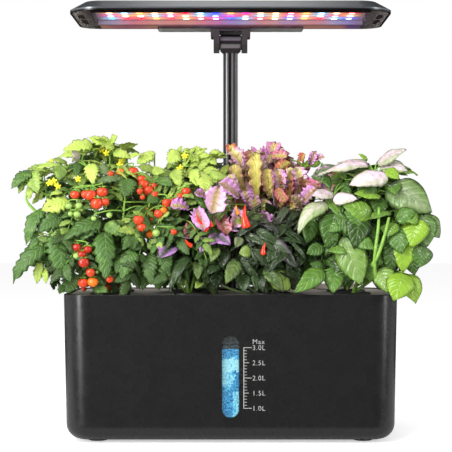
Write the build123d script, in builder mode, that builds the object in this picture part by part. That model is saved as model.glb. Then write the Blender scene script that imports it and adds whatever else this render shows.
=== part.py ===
from build123d import *

import os
from math import cos, radians, sin, tan

# Countertop hydroponic garden: a drafted water tub with a level window, a lift-out deck of eight
# planted pods, a dry rear column with its controls, and a grow lamp that tilts on a telescopic mast.
#
# Units are millimetres. +Z is up, -Y is the front, and the origin is on the tabletop under the
# middle of the tub.

os.makedirs("parts", exist_ok=True)

# ---------------------------------------------------------------- driving dimensions
# Clearances shared by all pieces
slip = 0.3  # between pieces that lift out or hang free
run = 0.08  # between a shaft and its hole, or a slide and its guide

# Tub
tub_width = 280.0
tub_depth = 155.0
rim_z = 124.0
draft = 1.0  # degrees that each tub wall leans out
wall = 2.5
floor_thickness = 3.0
corner_radius = 22.0
base_fillet = 13.0
rim_round = 0.8

# Feet
foot_height = 2.4
foot_radius = 8.0
foot_inset_x = 28.0  # foot middles from the tub's sides
foot_inset_y = 30.5
foot_edge = 0.5

# Level window and gauge
window_width = 14.2
window_height = 67.8
window_z = 56.0
window_flange = 2.2  # how far the lens flange laps the wall
lens_recess = 0.4
lens_thickness = 1.6
gasket_thickness = 0.8
full_level_z = 79.2
well_depth = 9.0
well_wall = 1.5
well_shoulder = 1.0
water_slot = 5.0
float_height = 2.6
float_post = 2.1
float_post_height = 7.0

# Deck and pods
deck_thickness = 3.0
deck_drop = 1.0  # deck surface below the rim
deck_gap = 0.6  # around the deck's edge
ledge_width = 3.0
ledge_thickness = 3.0
pod_pitch_x = 68.0
pod_front_inset = 32.5  # front row's middle from the tub's front
pod_back_berth = 20.0  # back row's middle ahead of the column's face
pod_hole_radius = 14.3
pod_flange_radius = 17.0
pod_flange_thickness = 1.8
pod_depth = 48.0
pod_wall = 1.4
pod_base_radius = 10.5
pod_drain_radius = 4.0
pod_slots = 8
pod_slot_width = 3.6
pod_slot_margin = 6.0
sponge_sink = 2.0  # sponge top below the deck surface
sponge_hole_depth = 12.0

# Fill port
port_inset_x = 45.0  # port middle from the tub's side
port_inset_y = 25.5  # and from its back
port_width = 30.0
port_depth = 16.0
port_corner = 3.0
flap_lap = 1.6
flap_thickness = 2.0
flap_pin_radius = 1.2
flap_barrel_wall = 1.2
lug_width = 4.0

# Rear column and controls
mast_inset = 30.0  # mast axis from the tub's back
column_width = 66.0
column_front = 16.5  # column face ahead of the mast axis
column_wall = 2.2
column_rise = 2.0  # column top above the deck surface
column_corner = 4.0
notch_gap = 1.0  # between the deck and the column
panel_thickness = 2.4
panel_lip = 1.2
panel_lip_depth = 4.0
key_radius = 4.8
key_flange = 1.2
key_flange_thickness = 1.2
key_x = 20.0
key_proud = 1.0
key_travel = 1.2
board_thickness = 1.6
board_drop = 6.0  # board top below the panel
board_post_radius = 2.4
board_post_inset = 4.2
switch_size = 6.0
screw_radius = 1.0
screw_head_radius = 1.9
screw_head = 1.0
light_pipe_radius = 1.1
light_pipe_y = 9.5

# Power inlet
inlet_x = 20.0
inlet_z = 34.0
inlet_radius = 6.0
inlet_flange_radius = 8.5
inlet_flange = 2.0
inlet_length = 18.0
inlet_mouth_radius = 4.5
inlet_mouth_depth = 1.8
inlet_socket_radius = 2.8
inlet_socket_depth = 9.0
inlet_pin_radius = 1.0
inlet_nut_radius = 9.0
inlet_nut_thickness = 3.0

# Mast
mast_width = 13.2
mast_corner = 4.6
mast_groove_width = 1.6
mast_groove_depth = 0.9
mast_bore = 3.5
mast_foot_z = 92.0
sleeve_wall = 1.4
sleeve_top_z = 230.0
sleeve_socket_wall = 2.0
sleeve_socket_height = 10.0
bush_wall = 1.2
bush_cap = 6.0
bush_cap_lap = 1.2
bush_length = 18.0
shoe_height = 8.0
spigot_length = 12.0

# Lamp hinge
hinge_drop = 14.7  # hinge axis below the lamp's rim
hinge_rise = 9.9  # and above the mast tube's top
knuckle_radius = 7.2
knuckle_width = 18.4
knuckle_groove = 1.6
neck_height = 2.4
ear_thickness = 5.2
ear_radius = 9.4
washer_thickness = 0.8
washer_radius = 6.6
pin_radius = 2.4
bracket_plate = 2.0
gusset_width = 2.6
gusset_height = 5.4
web_thickness = 5.0  # of the web that joins the ears over the knuckle

# Lamp
lamp_width = 274.0
lamp_depth = 126.0
lamp_overhang = 16.0  # the lamp's back edge behind the mast's axis
lamp_rim_z = 362.0
lamp_rim = 2.5
lamp_bevel = 12.5
lamp_height = 9.5
lamp_edge = 1.2
lamp_front_radius = 28.0
lamp_back_radius = 18.0
lamp_wall = 2.0
frame_plate = 2.0
recess_width = 236.0
recess_front_inset = 21.5  # from the lamp's front edge
recess_back_berth = 11.5  # the recess's back edge ahead of the mast's axis
recess_slope_x = 5.0
recess_slope_y = 2.0
recess_rise = 4.6
recess_wall = 1.4
led_seat = 2.4
led_pitch_x = 13.2
led_pitch_y = 17.0
led_columns = 17
led_rows = 4
led_size = 3.4
led_thickness = 1.0
driver_width = 132.0
driver_depth = 24.0
driver_drop = 3.1
driver_wall = 1.6
driver_corner = 3.0
driver_board_depth = 13.0
vent_x = 129.5
vent_length = 25.0
vent_width = 5.2
vent_gap = 4.0

# Pump
pump_x = 70.0
pump_inset = 33.5  # pump axis from the tub's back
pump_width = 40.0
pump_depth = 28.0
pump_height = 28.0
pump_corner = 2.0
cup_height = 3.0
cup_radius = 5.0
cup_inset = 7.0
filter_depth = 8.0
filter_wall = 1.6
filter_slot = 2.4
filter_slots = 6
impeller_radius = 8.0
impeller_gap = 1.2
impeller_depth = 9.0
impeller_blades = 6
blade_thickness = 1.0
rotor_radius = 5.5
rotor_length = 12.0
shaft_radius = 1.0
shaft_seat = 3.0
riser_x = 5.0  # riser axis beside the impeller's
riser_radius = 4.0
riser_wall = 1.2
riser_height = 26.0
riser_seat = 4.0
lead_radius = 2.0
lead_z = 104.0
lead_x = -10.0  # lead beside the pump's middle
grommet_radius = 4.0
grommet_lap = 1.6
grommet_lip = 1.2

# Crops
canopy_half_width = 178.0
canopy_half_depth = 78.0
canopy_low_z = 131.0
flap_berth = 14.0  # the outer crops stay this far ahead of the fill port's middle
mast_berth = 14.0  # the inner crops stay this far ahead of the mast's axis
crop_gap = 0.6  # between neighbouring crops
crop_corner_share = 0.42  # corner radius as a share of the crop's narrower side
crop_lean_share = 0.8  # how far a crop's slimmer sections lean to the other row
stem_radius = 3.2
canopy_top_z = 256.0
# Share of the canopy's height that each crop reaches
crop_reach = {
    "tomato_front_1": 0.84,
    "tomato_front_2": 0.81,
    "chilli_front_3": 0.66,
    "basil_front_4": 0.78,
    "tomato_back_1": 1.0,
    "tomato_back_2": 0.92,
    "lettuce_back_3": 0.97,
    "basil_back_4": 0.92,
}
# How each kind swells: share of its height, and shares of its cell's width and depth there
crop_habit = {
    "tomato": [
        (0.0, 0.84, 0.84),
        (0.18, 0.98, 1.0),
        (0.5, 1.0, 0.9),
        (0.75, 0.94, 0.68),
        (0.92, 0.74, 0.46),
        (1.0, 0.46, 0.28),
    ],
    "chilli": [(0.0, 0.8, 0.86), (0.25, 1.0, 1.0), (0.6, 0.96, 0.84), (0.85, 0.8, 0.6), (1.0, 0.5, 0.34)],
    "lettuce": [(0.0, 0.56, 0.6), (0.3, 0.84, 0.84), (0.6, 1.0, 1.0), (0.85, 0.92, 0.8), (1.0, 0.6, 0.4)],
    "basil": [(0.0, 0.74, 0.76), (0.28, 0.94, 1.0), (0.6, 1.0, 0.94), (0.82, 0.9, 0.72), (1.0, 0.52, 0.36)],
}

# ---------------------------------------------------------------- levels and places worked out
floor_z = foot_height + floor_thickness
deck_top = rim_z - deck_drop
ledge_z = deck_top - deck_thickness
column_top = deck_top + column_rise
panel_under = column_top - panel_thickness
board_top = panel_under - board_drop
pod_columns = [pod_pitch_x * (column - 1.5) for column in range(4)]
foot_x = tub_width / 2 - foot_inset_x
foot_y = tub_depth / 2 - foot_inset_y
port_x = tub_width / 2 - port_inset_x
port_y = tub_depth / 2 - port_inset_y
mast_y = tub_depth / 2 - mast_inset
column_front_y = mast_y - column_front
pump_y = tub_depth / 2 - pump_inset
hinge_z = lamp_rim_z - hinge_drop
mast_top_z = hinge_z - hinge_rise
pod_rows = {"front": pod_front_inset - tub_depth / 2, "back": column_front_y - pod_back_berth}
row_split_y = (pod_rows["front"] + pod_rows["back"]) / 2


def tub_size(z, inset=0.0):
    """Width, depth and corner radius of the leaning tub wall at height z, inset from its face."""
    lean = (rim_z - z) * tan(radians(draft)) + inset
    return tub_width - 2 * lean, tub_depth - 2 * lean, corner_radius - inset


def wall_plane(x, z, side):
    """A plane on the tub's outer face, front (side -1) or back (side +1), facing outwards."""
    lean = radians(draft)
    return Plane(
        origin=(x, side * tub_size(z)[1] / 2, z),
        x_dir=(-side, 0, 0),
        z_dir=(0, side * cos(lean), -sin(lean)),
    )


def across(x, y, z):
    """A plane that faces +X, with its own x along +Y and its own y along +Z."""
    return Plane(origin=(x, y, z), x_dir=(0, 1, 0), z_dir=(1, 0, 0))


def save(piece, name):
    """Label a finished piece and write it as one STEP file."""
    piece.part.label = name
    export_step(piece.part, f"parts/{name}.step")


# ---------------------------------------------------------------- tub and feet
with BuildPart() as tank_space:
    for z in (floor_z, rim_z):
        with BuildSketch(Plane.XY.offset(z)):
            RectangleRounded(*tub_size(z, wall))
    loft()
    fillet(tank_space.edges().group_by(Axis.Z)[0], base_fillet - wall)

with BuildPart() as tub:
    for z in (foot_height, rim_z):
        with BuildSketch(Plane.XY.offset(z)):
            RectangleRounded(*tub_size(z))
    loft()
    fillet(tub.edges().group_by(Axis.Z)[0], base_fillet)
    add(tank_space.part, mode=Mode.SUBTRACT)
    fillet(tub.edges().group_by(Axis.Z)[-1], rim_round)
    with BuildSketch(Plane.XY.offset(ledge_z - ledge_thickness)):
        RectangleRounded(*tub_size(ledge_z, wall / 2))
        RectangleRounded(*tub_size(ledge_z, wall + ledge_width), mode=Mode.SUBTRACT)
    extrude(amount=ledge_thickness)
    with BuildSketch(wall_plane(0, window_z, -1)):
        SlotOverall(window_height, window_width, rotation=90)
    extrude(amount=-2 * wall, mode=Mode.SUBTRACT)
    with BuildSketch(wall_plane(inlet_x, inlet_z, 1)):
        Circle(inlet_radius + run)
    extrude(amount=-2 * wall, mode=Mode.SUBTRACT)
save(tub, "tub")

with BuildPart() as rubber_feet:
    with BuildSketch():
        with GridLocations(2 * foot_x, 2 * foot_y, 2, 2):
            Circle(foot_radius)
    extrude(amount=foot_height)
    fillet(rubber_feet.edges().group_by(Axis.Z)[0], foot_edge)
save(rubber_feet, "rubber_feet")

# ---------------------------------------------------------------- level window and gauge
window_face = wall_plane(0, window_z, -1)
inner_face = window_face.offset(-wall)
flange_width = window_width + 2 * window_flange
flange_height = window_height + 2 * window_flange
stack = gasket_thickness + lens_thickness

with BuildPart() as level_window:
    with BuildSketch(window_face.offset(-lens_recess)):
        SlotOverall(window_height - 2 * run, window_width - 2 * run, rotation=90)
    extrude(amount=-(wall - lens_recess + gasket_thickness))
    with BuildSketch(inner_face.offset(-gasket_thickness)):
        SlotOverall(flange_height, flange_width, rotation=90)
    extrude(amount=-lens_thickness)
save(level_window, "level_window")

with BuildPart() as window_gasket:
    with BuildSketch(inner_face):
        SlotOverall(flange_height, flange_width, rotation=90)
        SlotOverall(window_height, window_width, rotation=90, mode=Mode.SUBTRACT)
    extrude(amount=-gasket_thickness)
save(window_gasket, "window_gasket")

# The well is bonded to the wall, holds the lens by its shoulder and carries the float; the slots
# in its back let the tank's water stand at the same height in it.
cell_width = flange_width - 2 * well_shoulder
cell_height = flange_height - 2 * well_shoulder
with BuildPart() as gauge_well:
    with BuildSketch(inner_face):
        RectangleRounded(flange_width + 2 * well_wall, flange_height + 2 * well_wall, 2 * well_wall)
    extrude(amount=-(stack + well_depth + well_wall))
    with BuildSketch(inner_face):
        RectangleRounded(flange_width + slip, flange_height + slip, well_wall)
    extrude(amount=-stack, mode=Mode.SUBTRACT)
    with BuildSketch(inner_face.offset(-stack)):
        RectangleRounded(cell_width, cell_height, well_wall)
    extrude(amount=-well_depth, mode=Mode.SUBTRACT)
    with BuildSketch(inner_face.offset(-stack - well_depth)):
        with GridLocations(0, cell_height - 2 * water_slot, 1, 2):
            Rectangle(water_slot, water_slot)
    extrude(amount=-well_wall, mode=Mode.SUBTRACT)
save(gauge_well, "gauge_well")

# Float and water column stand upright in the leaning well, so both keep clear of its walls.
well_lean = cell_height * sin(radians(draft))
water_depth = well_depth - 2 * slip - well_lean
float_y = inner_face.offset(-stack - well_depth / 2).origin.Y
water_low_z = window_z - cell_height / 2 + well_wall

with BuildPart() as level_float:
    with BuildSketch(Plane.XY.offset(full_level_z)):
        with Locations((0, float_y)):
            RectangleRounded(cell_width - 4 * slip, water_depth, well_wall)
    extrude(amount=float_height)
    with BuildSketch(Plane.XY.offset(full_level_z + float_height)):
        with Locations((0, float_y)):
            Rectangle(float_post, water_depth)
    extrude(amount=float_post_height)
save(level_float, "level_float")

with BuildPart() as gauge_water:
    with BuildSketch(Plane.XY.offset(water_low_z)):
        with Locations((0, float_y)):
            RectangleRounded(cell_width - 2 * slip, water_depth, well_wall)
    extrude(amount=full_level_z - slip - water_low_z)
save(gauge_water, "gauge_water")

# ---------------------------------------------------------------- rear column
column_back_y = tub_size(ledge_z, wall + ledge_width)[1] / 2 - slip
column_depth = column_back_y - column_front_y
column_mid_y = (column_front_y + column_back_y) / 2
sleeve_inner = mast_width + 2 * bush_wall
sleeve_outer = sleeve_inner + 2 * sleeve_wall
sleeve_corner = mast_corner + bush_wall + sleeve_wall
sleeve_foot_z = floor_z + column_wall
inlet_face = wall_plane(inlet_x, inlet_z, 1)


def column_side(inset=0.0):
    """The column seen from its side; its lower back is cut away to clear the tub's round base."""
    with BuildSketch(across(0, 0, 0)) as side:
        with BuildLine():
            Polyline(
                (column_front_y, floor_z),
                (column_back_y - base_fillet, floor_z),
                (column_back_y, floor_z + base_fillet),
                (column_back_y, panel_under),
                (column_front_y, panel_under),
                close=True,
            )
        make_face()
        if inset:
            offset(amount=-inset, kind=Kind.INTERSECTION, mode=Mode.REPLACE)
    return side.sketch


with BuildPart() as dry_column:
    extrude(column_side(), amount=column_width / 2, both=True)
    fillet(dry_column.edges().filter_by(Axis.Z), column_corner)
    extrude(
        column_side(column_wall), amount=column_width / 2 - column_wall, both=True, mode=Mode.SUBTRACT
    )
    with BuildSketch(Plane.XY.offset(panel_under - 2 * column_wall)):
        with Locations((0, column_mid_y)):
            RectangleRounded(
                column_width - 2 * column_wall,
                column_depth - 2 * column_wall,
                column_corner - column_wall,
            )
    extrude(amount=2 * column_wall, mode=Mode.SUBTRACT)
    with BuildSketch(Plane.XY.offset(sleeve_foot_z)):
        with Locations((0, mast_y)):
            RectangleRounded(
                sleeve_outer + 2 * sleeve_socket_wall,
                sleeve_outer + 2 * sleeve_socket_wall,
                sleeve_corner + sleeve_socket_wall,
            )
            RectangleRounded(
                sleeve_outer + 2 * run, sleeve_outer + 2 * run, sleeve_corner + run, mode=Mode.SUBTRACT
            )
    extrude(amount=sleeve_socket_height)
    with BuildSketch(inlet_face):
        Circle(inlet_radius + run)
    extrude(amount=-(inlet_length - inlet_nut_thickness), mode=Mode.SUBTRACT)
    with BuildSketch(across(column_width / 2 - 2 * column_wall, pump_y, lead_z)):
        Circle(grommet_radius)
    extrude(amount=2 * column_wall, mode=Mode.SUBTRACT)
save(dry_column, "dry_column")

# ---------------------------------------------------------------- control panel, keys and board
lip_width = column_width - 2 * (column_wall + run)
lip_depth = column_depth - 2 * (column_wall + run)
lip_corner = column_corner - column_wall
board_width = lip_width - 2 * (panel_lip + slip)
board_depth = lip_depth - 2 * (panel_lip + slip)
post_places = [
    (sx * (board_width / 2 - board_post_inset), column_mid_y + sy * (board_depth / 2 - board_post_inset))
    for sx in (-1, 1)
    for sy in (-1, 1)
]
key_places = [(-key_x, mast_y), (key_x, mast_y)]
pipe_places = [(x, mast_y - light_pipe_y) for x, _ in key_places]

with BuildPart() as control_panel:
    with BuildSketch(Plane.XY.offset(panel_under)):
        with Locations((0, column_mid_y)):
            RectangleRounded(column_width, column_depth, column_corner)
    extrude(amount=panel_thickness)
    fillet(control_panel.edges().group_by(Axis.Z)[-1], rim_round)
    with BuildSketch(Plane.XY.offset(panel_under)):
        with Locations((0, column_mid_y)):
            RectangleRounded(lip_width, lip_depth, lip_corner)
            RectangleRounded(
                lip_width - 2 * panel_lip, lip_depth - 2 * panel_lip, lip_corner / 2, mode=Mode.SUBTRACT
            )
    extrude(amount=-panel_lip_depth)
    with BuildSketch(Plane.XY.offset(panel_under)):
        with Locations(*post_places):
            Circle(board_post_radius)
    extrude(amount=-board_drop)
    with BuildSketch(Plane.XY.offset(board_top)):
        with Locations(*post_places):
            Circle(screw_radius)
    extrude(amount=board_drop, mode=Mode.SUBTRACT)
    with BuildSketch(Plane.XY.offset(panel_under)):
        with Locations((0, mast_y)):
            RectangleRounded(sleeve_outer + 2 * run, sleeve_outer + 2 * run, sleeve_corner + run)
        with Locations(*key_places):
            Circle(key_radius + slip)
        with Locations(*pipe_places):
            Circle(light_pipe_radius)
    extrude(amount=panel_thickness, mode=Mode.SUBTRACT)
save(control_panel, "control_panel")

with BuildPart() as control_board:
    with BuildSketch(Plane.XY.offset(board_top)):
        with Locations((0, column_mid_y)):
            Rectangle(board_width, board_depth)
        with Locations((0, mast_y)):
            RectangleRounded(
                sleeve_outer + 4 * slip, sleeve_outer + 4 * slip, sleeve_corner, mode=Mode.SUBTRACT
            )
        with Locations(*post_places):
            Circle(screw_radius + run, mode=Mode.SUBTRACT)
    extrude(amount=-board_thickness)
save(control_board, "control_board")

with BuildPart() as board_screws:
    with BuildSketch(Plane.XY.offset(board_top - board_thickness - screw_head)):
        with Locations(*post_places):
            Circle(screw_head_radius)
    extrude(amount=screw_head)
    with BuildSketch(Plane.XY.offset(board_top - board_thickness)):
        with Locations(*post_places):
            Circle(screw_radius)
    extrude(amount=board_thickness + board_drop - run)
save(board_screws, "board_screws")

key_under = panel_under - slip - key_flange_thickness
with BuildPart() as key_switches:
    with BuildSketch(Plane.XY.offset(board_top)):
        with Locations(*key_places):
            Rectangle(switch_size, switch_size)
    extrude(amount=key_under - key_travel - slip - board_top)
save(key_switches, "key_switches")

for name, place in zip(("light_key", "timer_key"), key_places):
    with BuildPart() as key:
        with BuildSketch(Plane.XY.offset(key_under)):
            with Locations(place):
                Circle(key_radius + key_flange)
        extrude(amount=key_flange_thickness)
        with BuildSketch(Plane.XY.offset(key_under)):
            with Locations(place):
                Circle(key_radius)
        extrude(amount=column_top + key_proud - key_under)
        fillet(key.edges().group_by(Axis.Z)[-1], key_proud / 2)
    save(key, name)

with BuildPart() as light_pipes:
    with BuildSketch(Plane.XY.offset(board_top)):
        with Locations(*pipe_places):
            Circle(light_pipe_radius)
    extrude(amount=column_top - board_top)
save(light_pipes, "light_pipes")

# ---------------------------------------------------------------- power inlet
wall_gap = tub_size(inlet_z, wall)[1] / 2 - column_back_y
with BuildPart() as power_inlet:
    with BuildSketch(inlet_face):
        Circle(inlet_flange_radius)
    extrude(amount=inlet_flange)
    with BuildSketch(inlet_face):
        Circle(inlet_radius)
    extrude(amount=-inlet_length)
    with BuildSketch(inlet_face.offset(inlet_flange)):
        Circle(inlet_mouth_radius)
    extrude(amount=-inlet_mouth_depth, mode=Mode.SUBTRACT)
    with BuildSketch(inlet_face.offset(inlet_flange - inlet_mouth_depth)):
        Circle(inlet_socket_radius)
        Circle(inlet_pin_radius, mode=Mode.SUBTRACT)
    extrude(amount=-inlet_socket_depth, mode=Mode.SUBTRACT)
save(power_inlet, "power_inlet")

# The seal fills the wedge between the leaning tub wall and the upright column.
with BuildPart() as inlet_seal:
    with BuildSketch(inlet_face.offset(-wall)):
        Circle(inlet_nut_radius)
        Circle(inlet_radius, mode=Mode.SUBTRACT)
    extrude(amount=-2 * wall_gap)
    with BuildSketch(Plane.XZ.offset(-column_back_y)):
        with Locations((inlet_x, inlet_z)):
            Circle(2 * inlet_nut_radius)
    extrude(amount=2 * wall_gap, mode=Mode.SUBTRACT)
save(inlet_seal, "inlet_seal")

with BuildPart() as inlet_nut:
    with BuildSketch(inlet_face.offset(-(wall + wall_gap + column_wall + slip))):
        RegularPolygon(inlet_nut_radius, 6)
        Circle(inlet_radius, mode=Mode.SUBTRACT)
    extrude(amount=-inlet_nut_thickness)
save(inlet_nut, "inlet_nut")

# ---------------------------------------------------------------- mast
with BuildPart() as mast_sleeve:
    with BuildSketch(Plane.XY.offset(sleeve_foot_z)):
        with Locations((0, mast_y)):
            RectangleRounded(sleeve_outer, sleeve_outer, sleeve_corner)
            RectangleRounded(
                sleeve_inner, sleeve_inner, mast_corner + bush_wall, mode=Mode.SUBTRACT
            )
    extrude(amount=sleeve_top_z - sleeve_foot_z)
save(mast_sleeve, "mast_sleeve")

with BuildPart() as mast_bush:
    with BuildSketch(Plane.XY.offset(sleeve_top_z - bush_length)):
        with Locations((0, mast_y)):
            RectangleRounded(sleeve_inner, sleeve_inner, mast_corner + bush_wall)
    extrude(amount=bush_length)
    with BuildSketch(Plane.XY.offset(sleeve_top_z)):
        with Locations((0, mast_y)):
            RectangleRounded(
                sleeve_outer + 2 * bush_cap_lap, sleeve_outer + 2 * bush_cap_lap, sleeve_corner
            )
    extrude(amount=bush_cap)
    fillet(mast_bush.edges().group_by(Axis.Z)[-1], bush_cap_lap)
    with BuildSketch(Plane.XY.offset(sleeve_top_z - bush_length)):
        with Locations((0, mast_y)):
            RectangleRounded(mast_width + 2 * run, mast_width + 2 * run, mast_corner + run)
    extrude(amount=bush_length + bush_cap, mode=Mode.SUBTRACT)
save(mast_bush, "mast_bush")

with BuildPart() as mast_tube:
    with BuildSketch(Plane.XY.offset(mast_foot_z)):
        with Locations((0, mast_y)):
            RectangleRounded(mast_width, mast_width, mast_corner)
            Circle(mast_bore, mode=Mode.SUBTRACT)
            with PolarLocations((mast_width - mast_groove_depth) / 2, 4):
                Rectangle(mast_groove_depth, mast_groove_width, mode=Mode.SUBTRACT)
    extrude(amount=mast_top_z - mast_foot_z)
save(mast_tube, "mast_tube")

with BuildPart() as guide_shoe:
    with BuildSketch(Plane.XY.offset(mast_foot_z - shoe_height)):
        with Locations((0, mast_y)):
            RectangleRounded(
                sleeve_inner - 2 * run, sleeve_inner - 2 * run, mast_corner + bush_wall - run
            )
    extrude(amount=shoe_height)
    with BuildSketch(Plane.XY.offset(mast_foot_z)):
        with Locations((0, mast_y)):
            Circle(mast_bore - run)
    extrude(amount=spigot_length)
    with BuildSketch(Plane.XY.offset(mast_foot_z - shoe_height)):
        with Locations((0, mast_y)):
            Circle(mast_bore / 2)
    extrude(amount=shoe_height + spigot_length, mode=Mode.SUBTRACT)
save(guide_shoe, "guide_shoe")

# The head plugs into the tube; its barrel turns on the hinge pin between the bracket's ears.
neck_z = mast_top_z + neck_height
with BuildPart() as mast_head:
    with BuildSketch(across(-knuckle_width / 2, mast_y, hinge_z)):
        Circle(knuckle_radius)
    extrude(amount=knuckle_width)
    with BuildSketch(Plane.XY.offset(mast_top_z)):
        with Locations((0, mast_y)):
            RectangleRounded(mast_width, mast_width, mast_corner)
    with BuildSketch(Plane.XY.offset(neck_z)):
        with Locations((0, mast_y)):
            RectangleRounded(knuckle_width, mast_width, rim_round)
    loft()
    with BuildSketch(Plane.XY.offset(neck_z)):
        with Locations((0, mast_y)):
            RectangleRounded(knuckle_width, mast_width, rim_round)
    extrude(amount=hinge_z - neck_z)
    with BuildSketch(Plane.XY.offset(mast_top_z)):
        with Locations((0, mast_y)):
            Circle(mast_bore - run)
    extrude(amount=-spigot_length)
    with BuildSketch(across(-knuckle_width / 2, mast_y, hinge_z)):
        Circle(pin_radius + run)
        with Locations((-knuckle_radius, 0)):
            Rectangle(knuckle_groove, knuckle_groove)
    extrude(amount=knuckle_width, mode=Mode.SUBTRACT)
save(mast_head, "mast_head")

# ---------------------------------------------------------------- lamp hinge
ear_inner = knuckle_width / 2 + washer_thickness + run
ear_outer = ear_inner + ear_thickness
bracket_top = lamp_rim_z - driver_drop
bracket_under = bracket_top - bracket_plate
bracket_screw_places = [
    (sx * ear_inner / 2, mast_y + sy * ear_radius / 2) for sx in (-1, 1) for sy in (-1, 1)
]

with BuildPart() as hinge_pin:
    with BuildSketch(across(-ear_outer + slip, mast_y, hinge_z)):
        Circle(pin_radius)
    extrude(amount=2 * (ear_outer - slip))
save(hinge_pin, "hinge_pin")

with BuildPart() as hinge_washers:
    for x in (-ear_inner, ear_inner - washer_thickness):
        with BuildSketch(across(x, mast_y, hinge_z)):
            Circle(washer_radius)
            Circle(pin_radius + run, mode=Mode.SUBTRACT)
        extrude(amount=washer_thickness)
save(hinge_washers, "hinge_washers")

with BuildPart() as hinge_bracket:
    with BuildSketch(Plane.XY.offset(bracket_under)):
        with Locations((0, mast_y)):
            Rectangle(2 * (ear_outer + gusset_width), 2 * ear_radius)
    extrude(amount=bracket_plate)
    for x in (-ear_outer, ear_inner):
        with BuildSketch(across(x, mast_y, hinge_z)):
            Circle(ear_radius)
            with Locations((0, (bracket_top - hinge_z) / 2)):
                Rectangle(2 * ear_radius, bracket_top - hinge_z)
            Circle(pin_radius + run, mode=Mode.SUBTRACT)
        extrude(amount=ear_thickness)
    for x in (-ear_outer - gusset_width, ear_outer):
        with BuildSketch(across(x, mast_y, bracket_under)):
            with Locations((0, -gusset_height / 2)):
                Rectangle(2 * ear_radius, gusset_height)
        extrude(amount=gusset_width)
    for end in (0, -1):
        outer_edges = hinge_bracket.edges().filter_by(Axis.Y).group_by(Axis.X)[end]
        fillet(outer_edges.sort_by(Axis.Z)[0], rim_round)
    with BuildSketch(Plane.XY.offset(bracket_under)):
        with Locations((0, mast_y)):
            Rectangle(2 * ear_inner, web_thickness)
    extrude(amount=hinge_z + knuckle_radius + slip - bracket_under)
    with BuildSketch(Plane.XY.offset(bracket_under)):
        with Locations(*bracket_screw_places):
            Circle(screw_radius + run)
    extrude(amount=bracket_plate, mode=Mode.SUBTRACT)
    with BuildSketch(Plane.XY.offset(bracket_under)):
        with Locations(*bracket_screw_places):
            Circle(screw_head_radius + run)
    extrude(amount=screw_head, mode=Mode.SUBTRACT)
save(hinge_bracket, "hinge_bracket")

with BuildPart() as bracket_screws:
    with BuildSketch(Plane.XY.offset(bracket_under)):
        with Locations(*bracket_screw_places):
            Circle(screw_head_radius)
    extrude(amount=screw_head)
    with BuildSketch(Plane.XY.offset(bracket_under)):
        with Locations(*bracket_screw_places):
            Circle(screw_radius)
    extrude(amount=bracket_plate + driver_drop + frame_plate)
save(bracket_screws, "bracket_screws")

# ---------------------------------------------------------------- lamp
lamp_y = mast_y + lamp_overhang - lamp_depth / 2
recess_front_y = lamp_y - lamp_depth / 2 + recess_front_inset
recess_back_y = mast_y - recess_back_berth
recess_depth = recess_back_y - recess_front_y
recess_y = (recess_front_y + recess_back_y) / 2
recess_top = lamp_rim_z + recess_rise
driver_front_y = recess_back_y + recess_slope_y
driver_y = driver_front_y + driver_depth / 2


def lamp_outline(inset=0.0):
    """The lamp from above, with wide front corners and tighter back ones, inset from its edge."""
    with BuildSketch() as outline:
        with Locations((0, lamp_y)):
            Rectangle(lamp_width - 2 * inset, lamp_depth - 2 * inset)
        fillet(outline.vertices().group_by(Axis.Y)[0], lamp_front_radius - inset)
        fillet(outline.vertices().group_by(Axis.Y)[-1], lamp_back_radius - inset)
    return outline.sketch


def recess_section(z, grow=0.0):
    """The lamp recess at height z, wider at its mouth, grown on every side."""
    spread = (recess_top - z) / recess_rise
    with BuildSketch(Plane.XY.offset(z)) as section:
        with Locations((0, recess_y)):
            Rectangle(
                recess_width + 2 * (recess_slope_x * spread + grow),
                recess_depth + 2 * (recess_slope_y * spread + grow),
            )
    return section.sketch


with BuildPart() as lamp_cover:
    with BuildSketch(Plane.XY.offset(lamp_rim_z)):
        add(lamp_outline())
    extrude(amount=lamp_rim)
    with BuildSketch(Plane.XY.offset(lamp_rim_z + lamp_rim)):
        add(lamp_outline())
    with BuildSketch(Plane.XY.offset(lamp_rim_z + lamp_height)):
        add(lamp_outline(lamp_bevel))
    loft()
    fillet(lamp_cover.edges().group_by(Axis.Z)[-1], lamp_edge)
    with BuildSketch(Plane.XY.offset(lamp_rim_z)):
        add(lamp_outline(lamp_wall))
    extrude(amount=lamp_rim, mode=Mode.SUBTRACT)
    with BuildSketch(Plane.XY.offset(lamp_rim_z + lamp_rim)):
        add(lamp_outline(lamp_wall))
    with BuildSketch(Plane.XY.offset(lamp_rim_z + lamp_height - lamp_wall)):
        add(lamp_outline(lamp_bevel))
    loft(mode=Mode.SUBTRACT)
save(lamp_cover, "lamp_cover")

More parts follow.
